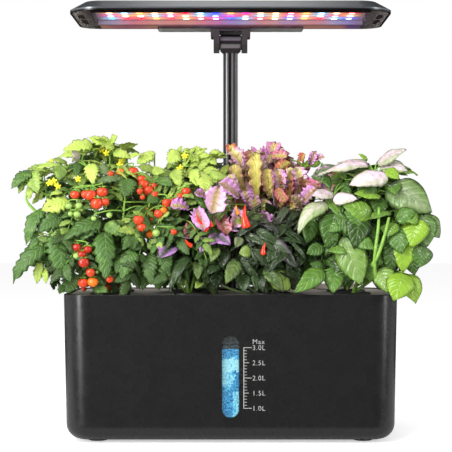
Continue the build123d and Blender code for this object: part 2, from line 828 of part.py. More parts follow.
# Each bay in the frame lies beside the bracket, over one half of the driver cover.
bay_width = driver_width / 2 - driver_wall - ear_outer - slip
bay_x = (driver_width / 2 - driver_wall + ear_outer) / 2
bay_y = driver_front_y + driver_wall + recess_wall + driver_board_depth / 2
bay_depth = driver_board_depth - 2 * recess_wall
with BuildPart() as lamp_frame:
    with BuildSketch(Plane.XY.offset(lamp_rim_z)):
        add(lamp_outline(lamp_wall + run))
    extrude(amount=frame_plate)
    loft([recess_section(lamp_rim_z, recess_wall), recess_section(recess_top, recess_wall)])
    with BuildSketch(Plane.XY.offset(recess_top - recess_wall)):
        with Locations((0, recess_y)):
            Rectangle(recess_width + 2 * led_seat, recess_depth + 2 * led_seat)
    extrude(amount=recess_wall)
    loft([recess_section(lamp_rim_z), recess_section(recess_top)], mode=Mode.SUBTRACT)
    with BuildSketch(Plane.XY.offset(lamp_rim_z)):
        with Locations((-bay_x, bay_y), (bay_x, bay_y)):
            Rectangle(bay_width, bay_depth)
        with Locations((0, lamp_y)):
            with GridLocations(2 * vent_x, vent_length + vent_gap, 2, 2):
                SlotOverall(vent_length, vent_width, rotation=90)
        with Locations(*bracket_screw_places):
            Circle(screw_radius)
    extrude(amount=frame_plate, mode=Mode.SUBTRACT)
save(lamp_frame, "lamp_frame")

with BuildPart() as led_board:
    with BuildSketch(Plane.XY.offset(recess_top)):
        with Locations((0, recess_y)):
            Rectangle(recess_width + 2 * led_seat, recess_depth + 2 * led_seat)
    extrude(amount=board_thickness)
save(led_board, "led_board")

with BuildPart() as led_chips:
    with BuildSketch(Plane.XY.offset(recess_top)):
        with Locations((0, recess_y)):
            with GridLocations(led_pitch_x, led_pitch_y, led_columns, led_rows):
                Rectangle(led_size, led_size)
    extrude(amount=-led_thickness)
save(led_chips, "led_chips")

with BuildPart() as driver_cover:
    with BuildSketch(Plane.XY.offset(bracket_top)):
        with Locations((0, driver_y)):
            RectangleRounded(driver_width, driver_depth, driver_corner)
    extrude(amount=driver_drop)
    chamfer(driver_cover.edges().group_by(Axis.Z)[0], driver_wall / 2)
    with BuildSketch(Plane.XY.offset(bracket_top + driver_wall)):
        with Locations((0, driver_y)):
            RectangleRounded(
                driver_width - 2 * driver_wall, driver_depth - 2 * driver_wall, driver_corner / 2
            )
            Rectangle(2 * ear_outer, driver_depth, mode=Mode.SUBTRACT)
    extrude(amount=driver_drop - driver_wall, mode=Mode.SUBTRACT)
    with BuildSketch(Plane.XY.offset(bracket_top)):
        with Locations(*bracket_screw_places):
            Circle(screw_radius + run)
    extrude(amount=driver_drop, mode=Mode.SUBTRACT)
save(driver_cover, "driver_cover")

# Two driver boards lie on the frame and their parts hang through its bays into the cover.
with BuildPart() as driver_boards:
    with BuildSketch(Plane.XY.offset(lamp_rim_z + frame_plate)):
        with Locations((-bay_x, bay_y), (bay_x, bay_y)):
            Rectangle(bay_width, driver_board_depth)
    extrude(amount=board_thickness)
    with BuildSketch(Plane.XY.offset(lamp_rim_z + frame_plate)):
        with Locations((-bay_x, bay_y), (bay_x, bay_y)):
            with GridLocations(bay_width / 3, 0, 3, 1):
                Rectangle(bay_width / 4, bay_depth - 2 * slip)
    extrude(amount=-(frame_plate + driver_drop - driver_wall - slip))
save(driver_boards, "driver_boards")

# ---------------------------------------------------------------- pump
pump_low_z = floor_z + cup_height
pump_top_z = pump_low_z + pump_height
pump_mid_z = pump_low_z + pump_height / 2
pump_front_y = pump_y - pump_depth / 2
pump_face = Plane(origin=(pump_x, pump_front_y, pump_mid_z), x_dir=(1, 0, 0), z_dir=(0, -1, 0))
chamber_depth = impeller_depth + impeller_gap
bore_depth = impeller_depth + rotor_length + 2 * slip
riser_axis = (pump_x + riser_x, pump_front_y + chamber_depth / 2)
cup_places = [
    (pump_x + sx * (pump_width / 2 - cup_inset), pump_y + sy * (pump_depth / 2 - cup_inset))
    for sx in (-1, 1)
    for sy in (-1, 1)
]

with BuildPart() as suction_cups:
    for x, y in cup_places:
        with Locations((x, y, floor_z)):
            Cone(cup_radius, cup_radius / 2, cup_height, align=(Align.CENTER, Align.CENTER, Align.MIN))
save(suction_cups, "suction_cups")

with BuildPart() as pump_body:
    with BuildSketch(Plane.XY.offset(pump_low_z)):
        with Locations((pump_x, pump_y)):
            RectangleRounded(pump_width, pump_depth, pump_corner)
    extrude(amount=pump_height)
    with BuildSketch(pump_face):
        Circle(impeller_radius + impeller_gap)
    extrude(amount=-chamber_depth, mode=Mode.SUBTRACT)
    with BuildSketch(pump_face):
        Circle(rotor_radius + slip)
    extrude(amount=-bore_depth, mode=Mode.SUBTRACT)
    with BuildSketch(pump_face):
        Circle(shaft_radius)
    extrude(amount=-(bore_depth + shaft_seat), mode=Mode.SUBTRACT)
    with BuildSketch(Plane.XY.offset(pump_mid_z)):
        with Locations(riser_axis):
            Circle(riser_radius - riser_wall)
    extrude(amount=pump_height, mode=Mode.SUBTRACT)
    with BuildSketch(Plane.XY.offset(pump_top_z - riser_seat)):
        with Locations(riser_axis):
            Circle(riser_radius + run)
    extrude(amount=riser_seat, mode=Mode.SUBTRACT)
save(pump_body, "pump_body")

with BuildPart() as riser_tube:
    with BuildSketch(Plane.XY.offset(pump_top_z - riser_seat)):
        with Locations(riser_axis):
            Circle(riser_radius)
            Circle(riser_radius - riser_wall, mode=Mode.SUBTRACT)
    extrude(amount=riser_height + riser_seat)
save(riser_tube, "riser_tube")

with BuildPart() as pump_grille:
    with BuildSketch(pump_face):
        RectangleRounded(pump_width, pump_height, pump_corner)
    extrude(amount=filter_depth)
    with BuildSketch(pump_face):
        Rectangle(pump_width - 2 * filter_wall, pump_height - 2 * filter_wall)
    extrude(amount=filter_depth - filter_wall, mode=Mode.SUBTRACT)
    with BuildSketch(pump_face):
        with GridLocations(pump_width / (filter_slots + 1), 0, filter_slots, 1):
            SlotOverall(pump_height - 4 * filter_wall, filter_slot, rotation=90)
    extrude(amount=filter_depth, mode=Mode.SUBTRACT)
save(pump_grille, "pump_grille")

with BuildPart() as filter_sponge:
    with BuildSketch(pump_face.offset(impeller_gap)):
        Rectangle(pump_width - 2 * filter_wall - slip, pump_height - 2 * filter_wall - slip)
    extrude(amount=filter_depth - filter_wall - impeller_gap - slip)
save(filter_sponge, "filter_sponge")

with BuildPart() as impeller_shaft:
    with BuildSketch(pump_face):
        Circle(shaft_radius)
    extrude(amount=-(bore_depth + shaft_seat))
save(impeller_shaft, "impeller_shaft")

with BuildPart() as impeller:
    with BuildSketch(pump_face.offset(-slip)):
        Circle(impeller_radius / 3)
        with PolarLocations(impeller_radius / 2, impeller_blades):
            Rectangle(impeller_radius, blade_thickness)
    extrude(amount=-impeller_depth)
    with BuildSketch(pump_face.offset(-slip - impeller_depth)):
        Circle(rotor_radius)
    extrude(amount=-rotor_length)
    with BuildSketch(pump_face):
        Circle(shaft_radius + run)
    extrude(amount=-bore_depth, mode=Mode.SUBTRACT)
save(impeller, "impeller")

grommet_x = column_width / 2 - column_wall - grommet_lip
with BuildPart() as lead_grommet:
    with BuildSketch(across(grommet_x, pump_y, lead_z)):
        Circle(grommet_radius + grommet_lap)
    extrude(amount=grommet_lip)
    with BuildSketch(across(grommet_x + grommet_lip, pump_y, lead_z)):
        Circle(grommet_radius)
    extrude(amount=column_wall)
    with BuildSketch(across(column_width / 2, pump_y, lead_z)):
        Circle(grommet_radius + grommet_lap)
    extrude(amount=grommet_lip)
    with BuildSketch(across(grommet_x, pump_y, lead_z)):
        Circle(lead_radius + run)
    extrude(amount=column_wall + 2 * grommet_lip, mode=Mode.SUBTRACT)
save(lead_grommet, "lead_grommet")

# The pump's lead rises above the water before it enters the dry column.
lead_start = Vector(pump_x + lead_x, pump_y, pump_top_z)
lead_corner = Vector(lead_start.X, pump_y, lead_z)
lead_end = Vector(grommet_x, pump_y, lead_z)
lead_bend = lead_corner.X - column_width / 2 - grommet_lip
with BuildPart() as pump_lead:
    with BuildLine():
        FilletPolyline(lead_start, lead_corner, lead_end, radius=lead_bend)
    with BuildSketch(Plane.XY.offset(pump_top_z)):
        with Locations((lead_start.X, lead_start.Y)):
            Circle(lead_radius)
    sweep()
save(pump_lead, "pump_lead")

# ---------------------------------------------------------------- deck, fill port and flap
flap_barrel = flap_pin_radius + flap_barrel_wall
flap_width = port_width + 2 * flap_lap
flap_depth = port_depth + 2 * flap_lap
flap_z = deck_top + slip
flap_axis_y = port_y + flap_depth / 2 + flap_barrel
flap_axis_z = flap_z + flap_barrel
notch_front_y = column_front_y - notch_gap

with BuildPart() as grow_deck:
    with BuildSketch(Plane.XY.offset(ledge_z)):
        RectangleRounded(*tub_size(ledge_z, wall + deck_gap))
        for y in pod_rows.values():
            with Locations(*[(x, y) for x in pod_columns]):
                Circle(pod_hole_radius, mode=Mode.SUBTRACT)
        with Locations((port_x, port_y)):
            RectangleRounded(port_width, port_depth, port_corner, mode=Mode.SUBTRACT)
        with Locations((0, notch_front_y + tub_depth / 2)):
            Rectangle(column_width + 2 * notch_gap, tub_depth, mode=Mode.SUBTRACT)
    extrude(amount=deck_thickness)
    for x in (port_x - flap_width / 2 - slip - lug_width, port_x + flap_width / 2 + slip):
        with BuildSketch(across(x, flap_axis_y, flap_axis_z)):
            Circle(flap_barrel)
            with Locations((0, (deck_top - flap_axis_z) / 2)):
                Rectangle(2 * flap_barrel, flap_axis_z - deck_top)
            Circle(flap_pin_radius, mode=Mode.SUBTRACT)
        extrude(amount=lug_width)
save(grow_deck, "grow_deck")

with BuildPart() as fill_flap:
    with BuildSketch(Plane.XY.offset(flap_z)):
        with Locations((port_x, port_y)):
            RectangleRounded(flap_width, flap_depth, port_corner)
        with Locations((port_x, flap_axis_y - flap_barrel)):
            Rectangle(flap_width, 2 * flap_barrel)
    extrude(amount=flap_thickness)
    with BuildSketch(across(port_x - flap_width / 2, flap_axis_y, flap_axis_z)):
        Circle(flap_barrel)
    extrude(amount=flap_width)
    with BuildSketch(across(port_x - flap_width / 2, flap_axis_y, flap_axis_z)):
        Circle(flap_pin_radius + run)
    extrude(amount=flap_width, mode=Mode.SUBTRACT)
save(fill_flap, "fill_flap")

with BuildPart() as flap_pin:
    with BuildSketch(across(port_x - flap_width / 2 - slip - lug_width, flap_axis_y, flap_axis_z)):
        Circle(flap_pin_radius)
    extrude(amount=flap_width + 2 * (slip + lug_width))
save(flap_pin, "flap_pin")

# ---------------------------------------------------------------- pod baskets and sponges
pod_low_z = deck_top - pod_depth
pod_top_radius = pod_hole_radius - slip
sponge_low_z = pod_low_z + pod_wall
sponge_top_z = deck_top - sponge_sink
slot_height = pod_depth - deck_thickness - 2 * pod_slot_margin


def pod_radius(z):
    """Outer radius of a basket's tapered side at height z."""
    return pod_base_radius + (pod_top_radius - pod_base_radius) * (z - pod_low_z) / pod_depth


with BuildPart() as basket:
    for z in (pod_low_z, deck_top):
        with BuildSketch(Plane.XY.offset(z)):
            Circle(pod_radius(z))
    loft()
    with BuildSketch(Plane.XY.offset(deck_top)):
        Circle(pod_flange_radius)
    extrude(amount=pod_flange_thickness)
    chamfer(basket.edges().group_by(Axis.Z)[-1], pod_flange_thickness / 3)
    for z in (sponge_low_z, deck_top + pod_flange_thickness):
        with BuildSketch(Plane.XY.offset(z)):
            Circle(pod_radius(z) - pod_wall)
    loft(mode=Mode.SUBTRACT)
    with BuildSketch(Plane.XY.offset(pod_low_z)):
        Circle(pod_drain_radius)
    extrude(amount=pod_wall, mode=Mode.SUBTRACT)
    for turn in range(pod_slots // 2):
        with BuildSketch(
            Plane(
                origin=(0, 0, pod_low_z + pod_slot_margin + slot_height / 2),
                x_dir=(0, 0, 1),
                z_dir=Vector(1, 0, 0).rotate(Axis.Z, turn * 360 / pod_slots),
            )
        ):
            SlotOverall(slot_height, pod_slot_width)
        extrude(amount=pod_top_radius, both=True, mode=Mode.SUBTRACT)

with BuildPart() as sponge:
    for z in (sponge_low_z, sponge_top_z):
        with BuildSketch(Plane.XY.offset(z)):
            Circle(pod_radius(z) - pod_wall - slip)
    loft()
    with BuildSketch(Plane.XY.offset(sponge_top_z)):
        Circle(stem_radius + slip)
    extrude(amount=-sponge_hole_depth, mode=Mode.SUBTRACT)

for row, y in pod_rows.items():
    places = [(x, y) for x in pod_columns]
    with BuildPart() as baskets:
        with Locations(*places):
            add(basket.part)
    save(baskets, f"pod_baskets_{row}")
    with BuildPart() as sponges:
        with Locations(*places):
            add(sponge.part)
    save(sponges, f"grow_sponges_{row}")

# ---------------------------------------------------------------- crops
# Each crop fills one cell of the canopy; the cell edges lie midway between the pods.
cell_edges_x = [-canopy_half_width, -pod_pitch_x, 0.0, pod_pitch_x, canopy_half_width]
stem_low_z = sponge_top_z - sponge_hole_depth + slip


def crop_cell(row, column):
    """Middle and size of a crop's cell, seen from above."""
    low_x = cell_edges_x[column] + crop_gap / 2
    high_x = cell_edges_x[column + 1] - crop_gap / 2
    if row == "front":
        low_y = -canopy_half_depth
        high_y = row_split_y - crop_gap / 2
    else:
        low_y = row_split_y + crop_gap / 2
        high_y = port_y - flap_berth if column in (0, 3) else mast_y - mast_berth
    return (low_x + high_x) / 2, (low_y + high_y) / 2, high_x - low_x, high_y - low_y


for name, reach in crop_reach.items():
    kind, row, number = name.split("_")
    column = int(number) - 1
    to_split = 1 if row == "front" else -1
    middle_x, middle_y, width, depth = crop_cell(row, column)
    crop_height = reach * (canopy_top_z - canopy_low_z)
    with BuildPart() as crop:
        for height_share, width_share, depth_share in crop_habit[kind]:
            section_width, section_depth = width * width_share, depth * depth_share
            lean = to_split * crop_lean_share * (depth - section_depth) / 2
            with BuildSketch(Plane.XY.offset(canopy_low_z + height_share * crop_height)):
                with Locations((middle_x, middle_y + lean)):
                    RectangleRounded(
                        section_width, section_depth, crop_corner_share * min(section_width, section_depth)
                    )
        loft(ruled=True)
        with BuildSketch(Plane.XY.offset(stem_low_z)):
            with Locations((pod_columns[column], pod_rows[row])):
                Circle(stem_radius)
        extrude(amount=canopy_low_z - stem_low_z + crop_gap)
    save(crop, name)
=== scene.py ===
# %% [markdown]
# # A countertop hydroponic garden
#
# The object is a moulded black water tub with eight planted pods in its lid, a level window in its
# front and a grow lamp that slides and tilts on a square mast. The rigid pieces already exist as
# solids at their real size. What is left for Blender is how things look: the finish of each plastic
# and metal, the water, the printed scale, the small lights of the lamp and, above all, the plants.
#
# Everything is in metres, +Z is up, and -Y is the front.

# %% Load the solids
import math
import random

import bpy
import numpy as np
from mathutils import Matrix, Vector
from mathutils.bvhtree import BVHTree


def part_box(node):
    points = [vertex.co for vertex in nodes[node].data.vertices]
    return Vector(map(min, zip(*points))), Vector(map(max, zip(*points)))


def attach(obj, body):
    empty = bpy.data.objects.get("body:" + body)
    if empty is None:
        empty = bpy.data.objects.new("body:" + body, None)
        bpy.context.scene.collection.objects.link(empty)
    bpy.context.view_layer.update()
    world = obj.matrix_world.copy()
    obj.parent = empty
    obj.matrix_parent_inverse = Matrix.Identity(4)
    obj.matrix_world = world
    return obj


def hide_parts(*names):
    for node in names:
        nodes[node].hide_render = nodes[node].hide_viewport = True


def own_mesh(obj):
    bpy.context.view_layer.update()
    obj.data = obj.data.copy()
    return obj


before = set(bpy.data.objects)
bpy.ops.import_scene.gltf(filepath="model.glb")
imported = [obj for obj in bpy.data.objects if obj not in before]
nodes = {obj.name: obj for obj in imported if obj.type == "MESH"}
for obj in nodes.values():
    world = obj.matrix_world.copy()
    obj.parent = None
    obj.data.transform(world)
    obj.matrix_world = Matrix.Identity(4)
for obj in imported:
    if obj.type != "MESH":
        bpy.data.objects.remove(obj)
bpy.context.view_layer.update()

# %% [markdown]
# ## Helpers for materials and meshes
#
# Colours are easiest to read and compare as the hex values that a paint program shows. Those are
# sRGB values, and Blender's sockets want linear light, so one function converts them. A second
# function adds a shader node, sets its properties and inputs, and links the inputs that are given
# another node or output. With these two, each material below stays a short recipe: most of them
# are a base colour that a share from 0 to 1 carries between two tones, a roughness that noise
# carries, and a bump of a real depth.

# %% Colour and node helpers
MM = 0.001


def linear(hex_colour, alpha=1.0):
    """Turn an sRGB hex colour into the linear RGBA that sockets take."""
    shares = [int(hex_colour[place : place + 2], 16) / 255 for place in (1, 3, 5)]
    return tuple(s / 12.92 if s <= 0.04045 else ((s + 0.055) / 1.055) ** 2.4 for s in shares) + (alpha,)


def add_node(material, kind, inputs=None, **properties):
    """Add a shader node, set its properties, and set or link its inputs."""
    node = material.node_tree.nodes.new("ShaderNode" + kind)
    for name, value in properties.items():
        setattr(node, name, value)
    for name, value in (inputs or {}).items():
        if isinstance(value, bpy.types.Node):
            value = value.outputs[0]
        if isinstance(value, bpy.types.NodeSocket):
            material.node_tree.links.new(value, node.inputs[name])
        else:
            node.inputs[name].default_value = value
    return node


def start_material(name, colour, roughness, **sockets):
    """A material whose Principled shader has its plain values set, by the names of its sockets."""
    material = bpy.data.materials.new(name)
    material.use_nodes = True
    shader = material.node_tree.nodes["Principled BSDF"]
    shader.inputs["Base Color"].default_value = linear(colour)
    shader.inputs["Roughness"].default_value = roughness
    for socket, value in sockets.items():
        shader.inputs[socket.replace("_", " ")].default_value = value
    return material


# %% What carries colour, roughness and height


def carry(material, node, socket="Base Color"):
    """Let a node's first output carry a socket of the material's Principled shader."""
    shader = material.node_tree.nodes["Principled BSDF"]
    material.node_tree.links.new(node.outputs[0], shader.inputs[socket])


def two_tone(material, share, first, second):
    """Let a share from 0 to 1 carry the colour from the first hex colour to the second."""
    inputs = {"Fac": share, "Color1": linear(first), "Color2": linear(second)}
    carry(material, add_node(material, "MixRGB", inputs))


def wear(material, noise, low, high):
    """Let the noise carry the roughness between two values."""
    inputs = {"Value": noise, "From Min": 0.3, "From Max": 0.7, "To Min": low, "To Max": high}
    carry(material, add_node(material, "MapRange", inputs), "Roughness")


def add_bump(material, height, depth_mm):
    """Give the material a bump of that real depth."""
    inputs = {"Height": height, "Distance": depth_mm * MM, "Strength": 1.0}
    carry(material, add_node(material, "Bump", inputs), "Normal")


def place_noise(material, size_mm, detail=2.0):
    """Noise whose lumps are about that many millimetres across, fixed to the object."""
    where = add_node(material, "TexCoord").outputs["Object"]
    inputs = {"Vector": where, "Scale": 1 / (size_mm * MM), "Detail": detail, "Roughness": 0.55}
    return add_node(material, "TexNoise", inputs)


def own_axes(material):
    """Where a point lies along the object's own X, Y and Z, in metres."""
    where = add_node(material, "TexCoord").outputs["Object"]
    return add_node(material, "SeparateXYZ", {"Vector": where}).outputs


def set_ramp(ramp, *stops):
    """Give a colour ramp its stops, each a place from 0 to 1 and a hex colour."""
    elements = ramp.color_ramp.elements
    for number, (place, colour) in enumerate((stops[0], stops[-1])):
        elements[number].position = place
        elements[number].color = linear(colour)
    for place, colour in stops[1:-1]:
        elements.new(place).color = linear(colour)


# %% Objects and meshes


def add_object(name, data):
    """A new object around a mesh, light or camera, linked to the scene."""
    thing = bpy.data.objects.new(name, data)
    bpy.context.scene.collection.objects.link(thing)
    return thing


def add_mesh(name, points, faces, *finishes):
    """A new mesh object in the scene, from its points and faces, with its finishes."""
    mesh = bpy.data.meshes.new(name)
    mesh.from_pydata(points, [], faces)
    for finish in finishes:
        mesh.materials.append(finish)
    return add_object(name, mesh)


# %% [markdown]
# ## Moulded plastics
#
# The tub is injection-moulded ABS. Its mould is spark-eroded to a fine matt grain, so the surface
# is satin: it has soft, wide highlights along its rounded corners and no mirror image. ABS has an
# IOR of about 1.54. The real grain is near 0.05 mm, which no render at this size can show, so it
# is drawn 0.5 mm coarse and very shallow. Faint, wide variations in roughness keep the large
# front from looking like a flat card.

# %% Spark-eroded ABS


def moulded_abs(name, dark, light, rough_low, rough_high, **sockets):
    """ABS from a spark-eroded mould: a satin surface with a fine, shallow grain."""
    material = start_material(name, light, rough_high, IOR=1.54, **sockets)
    two_tone(material, place_noise(material, 18.0), dark, light)
    wear(material, place_noise(material, 9.0, 4.0), rough_low, rough_high)
    add_bump(material, place_noise(material, 0.5), 0.012)
    return material


tub_abs = moulded_abs("satin_black_abs", "#191919", "#1e1e1e", 0.24, 0.31, Specular_IOR_Level=0.3)
deck_abs = moulded_abs("deck_grey_abs", "#b9b2a7", "#c6c0b5", 0.42, 0.52)
basket_abs = moulded_abs("basket_black_abs", "#1d1d1c", "#262625", 0.45, 0.6)
lamp_abs = moulded_abs("lamp_housing_abs", "#1f1a1c", "#2a2426", 0.18, 0.26, Emission_Strength=0.9)
pump_abs = moulded_abs("pump_charcoal_abs", "#1b1c1d", "#232425", 0.4, 0.5)
hinge_abs = moulded_abs("hinge_grey_abs", "#2c2c2b", "#393937", 0.36, 0.46)
key_abs = moulded_abs("key_grey_abs", "#3a3b3d", "#454648", 0.34, 0.42)
rotor_abs = moulded_abs("rotor_white_abs", "#b9b9b4", "#c6c6c0", 0.35, 0.45)
print("moulded plastics:", sum(material.name.endswith("_abs") for material in bpy.data.materials))

# %% Lamp frame
# The frame is glossy and nearly black. Past its recess it is painted lighter grey towards both
# ends, a painted light. Behind the recess its underside glows with painted patches of the diodes'
# light, a painted glow.
RECESS_END, FRAME_END = 118.0 * MM, 133.0 * MM
RECESS_BACK_Y, UNDERSIDE_Z = 36.0 * MM, 362.15 * MM
PATCH_MM = 22.0
where = add_node(lamp_abs, "TexCoord").outputs["Object"]
place = add_node(lamp_abs, "SeparateXYZ", {"Vector": where}).outputs
to_end = add_node(lamp_abs, "Math", {0: place["X"]}, operation="ABSOLUTE")
# Painted light: lighter grey past the recess, towards both ends.
painted_light_falloff = {"Value": to_end, "From Min": RECESS_END, "From Max": FRAME_END, "To Min": 0.15, "To Max": 1.0}
painted_end_ramp = add_node(lamp_abs, "MapRange", painted_light_falloff)
past_recess = add_node(lamp_abs, "Math", {0: to_end, 1: RECESS_END}, operation="GREATER_THAN")
painted_end_light = add_node(lamp_abs, "Math", {0: painted_end_ramp, 1: past_recess}, operation="MULTIPLY")
two_tone(lamp_abs, painted_end_light, "#211b1d", "#8f8885")
# Painted glow: patches of the diodes' light behind the recess, in the emission colour.
behind = add_node(lamp_abs, "Math", {0: place["Y"], 1: RECESS_BACK_Y - 0.5 * MM}, operation="GREATER_THAN")
below = add_node(lamp_abs, "Math", {0: place["Z"], 1: UNDERSIDE_Z}, operation="LESS_THAN")
inside = add_node(lamp_abs, "Math", {0: to_end, 1: RECESS_END}, operation="LESS_THAN")
painted_glow_share = add_node(lamp_abs, "Math", {0: behind, 1: below}, operation="MULTIPLY")
painted_glow_share = add_node(lamp_abs, "Math", {0: painted_glow_share, 1: inside}, operation="MULTIPLY")
drift = add_node(lamp_abs, "Mapping", {"Vector": where, "Scale": (1.0, 0.3, 0.3)})
patches = add_node(lamp_abs, "TexNoise", {"Vector": drift, "Scale": 1 / (PATCH_MM * MM), "Detail": 1.0})
painted_glow_tone = add_node(lamp_abs, "ValToRGB", {"Fac": patches})
set_ramp(painted_glow_tone, (0.35, "#57406a"), (0.5, "#8a5560"), (0.65, "#94695a"))
painted_diode_glow = add_node(lamp_abs, "MixRGB", {"Fac": painted_glow_share, "Color1": linear("#000000"), "Color2": painted_glow_tone})
carry(lamp_abs, painted_diode_glow, "Emission Color")
print(f"lamp frame: dark to {RECESS_END / MM:.0f} mm, pale from {FRAME_END / MM:.0f} mm")

# %% Driver cover
# The cover of the lamp's driver is just as dark. Its bottom is a pale grey plate, and its upper
# part is painted pink, a painted light for the lamp's light that falls on it.
PLATE_TOP, PAINTED_PINK_LOW = 359.05 * MM, 361.2 * MM
driver_abs = start_material("driver_cover_abs", "#2a1f25", 0.2, IOR=1.54)
height = own_axes(driver_abs)["Z"]
on_plate = add_node(driver_abs, "Math", {0: height, 1: PLATE_TOP}, operation="LESS_THAN")
tones = {"Fac": on_plate, "Color1": linear("#2a1f25"), "Color2": linear("#a3a3a1")}
plated = add_node(driver_abs, "MixRGB", tones)
# Painted light: pink above this height.
rising = {"Value": height, "From Min": PAINTED_PINK_LOW, "From Max": PAINTED_PINK_LOW + 0.5 * MM}
painted_pink_light = add_node(driver_abs, "MapRange", rising)
tones = {"Fac": painted_pink_light, "Color1": plated, "Color2": linear("#83575b")}
carry(driver_abs, add_node(driver_abs, "MixRGB", tones))
wear(driver_abs, place_noise(driver_abs, 8.0, 4.0), 0.16, 0.26)
print(f"driver cover: plate below {PLATE_TOP / MM:.2f} mm, pink above {PAINTED_PINK_LOW / MM:.1f} mm")

# %% Mast head
# The knuckle at the head of the mast is dark and has two lighter bands, painted highlights where
# the light catches its round face.
HIGHLIGHT_CENTRE, HIGHLIGHT_PITCH, HIGHLIGHT_HALF = 347.0 * MM, 6.8 * MM, 2.2 * MM
head_abs = start_material("mast_head_abs", "#1c1c1c", 0.4, IOR=1.54)
from_centre = {0: own_axes(head_abs)["Z"], 1: HIGHLIGHT_CENTRE}
from_centre = add_node(head_abs, "Math", from_centre, operation="SUBTRACT")
folded = add_node(head_abs, "Math", {0: from_centre}, operation="ABSOLUTE")
from_highlight = add_node(head_abs, "Math", {0: folded, 1: HIGHLIGHT_PITCH / 2}, operation="SUBTRACT")
off_highlight = add_node(head_abs, "Math", {0: from_highlight}, operation="ABSOLUTE")
painted_light_falloff = {"Value": off_highlight, "From Min": HIGHLIGHT_HALF, "From Max": 0.6 * HIGHLIGHT_HALF}
# Painted highlights: lighter within each band.
two_tone(head_abs, add_node(head_abs, "MapRange", painted_light_falloff), "#181818", "#5f5f5e")
print(f"mast head: bands {HIGHLIGHT_PITCH / MM:.1f} mm apart")

# %% Gauge well
# The well behind the window is smooth teal plastic with a dark upright rib in its middle, which
# guides the float.
RIB_HALF = 0.9 * MM
gauge_abs = start_material("gauge_teal_abs", "#34494a", 0.45, IOR=1.54)
beside = add_node(gauge_abs, "Math", {0: own_axes(gauge_abs)["X"]}, operation="ABSOLUTE")
off_rib = add_node(gauge_abs, "MapRange", {"Value": beside, "From Min": RIB_HALF, "From Max": 1.5 * RIB_HALF})
two_tone(gauge_abs, off_rib, "#08141a", "#253638")
print(f"gauge rib: {2 * RIB_HALF / MM:.1f} mm wide")

# %% Polished panel
# The control panel's mould is polished, so the panel mirrors the mast.
panel_abs = start_material("polished_panel_abs", "#111112", 0.12, IOR=1.54)
wear(panel_abs, place_noise(panel_abs, 6.0, 5.0), 0.08, 0.17)
print("plastics:", sum(material.name.endswith("_abs") for material in bpy.data.materials))

# %% [markdown]
# ## Rubber, foam and sponge
#
# Nitrile and silicone rubber feet, seals and suction cups are matt, and dust makes their colour
# uneven. The pump's filter is an open foam and the grow sponges are pressed peat: both are so rough
# that they have no highlight, and their cells show as a coarse, deep bump.

# %% Rubber and foams


def soft_matter(name, dark, light, cell_mm, depth_mm, roughness):
    """A dull, pitted material such as rubber, foam or pressed peat."""
    material = start_material(name, light, roughness, IOR=1.5)
    cells = place_noise(material, cell_mm, 3.0)
    two_tone(material, cells, dark, light)
    add_bump(material, cells, depth_mm)
    return material


rubber = soft_matter("nitrile_rubber", "#141414", "#1e1e1e", 2.0, 0.03, 0.72)
lead_pvc = soft_matter("pump_lead_pvc", "#161616", "#1f1f1f", 3.0, 0.02, 0.5)
filter_foam = soft_matter("filter_foam", "#0f0f0f", "#2c2c2c", 0.9, 0.5, 0.95)
peat_sponge = soft_matter("peat_sponge", "#24150b", "#553a25", 1.2, 0.5, 0.95)
print("soft matter:", rubber.name, lead_pvc.name, filter_foam.name, peat_sponge.name)

# %% [markdown]
# ## Metals
#
# The mast is an extruded aluminium section, bead-blasted and then anodised black. Anodising is a
# hard, coloured oxide layer: it keeps the metal's wide, soft shine and loses its bright colour. The
# extrusion has shallow flutes, whose light and dark stripes are painted highlights and painted
# shade in its colour, and its die leaves faint lines along the mast. The lamp's cover is cast
# aluminium with a fine powder coat in dark grey, which is darker along its lower edge.
# Screws, pins and the inlet's nut are stainless steel, brushed by their tumbling, and the lamp's
# circuit board is aluminium under a white solder mask.

# %% Anodised mast
DIE_LINE_MM = 0.8
FLUTE_PITCH = 4.6 * MM
anodised = start_material("black_anodised_aluminium", "#2a2a2b", 0.32, Metallic=0.35)
where = add_node(anodised, "TexCoord").outputs["Object"]
stretched = add_node(anodised, "Mapping", {"Vector": where, "Scale": (1.0, 1.0, 0.01)})
lines = add_node(anodised, "TexNoise", {"Vector": stretched, "Scale": 1 / (DIE_LINE_MM * MM), "Detail": 3.0})
wear(anodised, lines, 0.24, 0.36)
add_bump(anodised, lines, 0.01)
across = add_node(anodised, "SeparateXYZ", {"Vector": where}).outputs["X"]
# The flutes are not shaped: stripes across X are painted highlights and painted shade.
shifted = add_node(anodised, "Math", {0: across, 1: -0.1 * FLUTE_PITCH}, operation="ADD")
turn = add_node(anodised, "Math", {0: shifted, 1: 2 * math.pi / FLUTE_PITCH}, operation="MULTIPLY")
fluted = add_node(anodised, "Math", {0: turn}, operation="SINE")
painted_flute_light = add_node(anodised, "MapRange", {"Value": fluted, "From Min": -0.2, "From Max": 0.6})
two_tone(anodised, painted_flute_light, "#1d1d1e", "#6e6e70")
print(f"flutes: {FLUTE_PITCH / MM:.1f} mm apart")

# %% Powder-coated cover, steel and solder mask
EDGE_LOW, EDGE_HIGH = 362.8 * MM, 363.8 * MM
coated = start_material("grey_powder_coat", "#5c6063", 0.3, Metallic=0.6)
wear(coated, place_noise(coated, 30.0), 0.29, 0.33)
add_bump(coated, place_noise(coated, 0.6), 0.01)
# Darker along the cover's lower edge.
rising = {"Value": own_axes(coated)["Z"], "From Min": EDGE_LOW, "From Max": EDGE_HIGH}
above_edge = add_node(coated, "MapRange", rising)
two_tone(coated, above_edge, "#171213", "#5c6063")

steel = start_material("tumbled_stainless_steel", "#b8b7b3", 0.3, Metallic=1.0)
wear(steel, place_noise(steel, 1.5, 5.0), 0.2, 0.42)

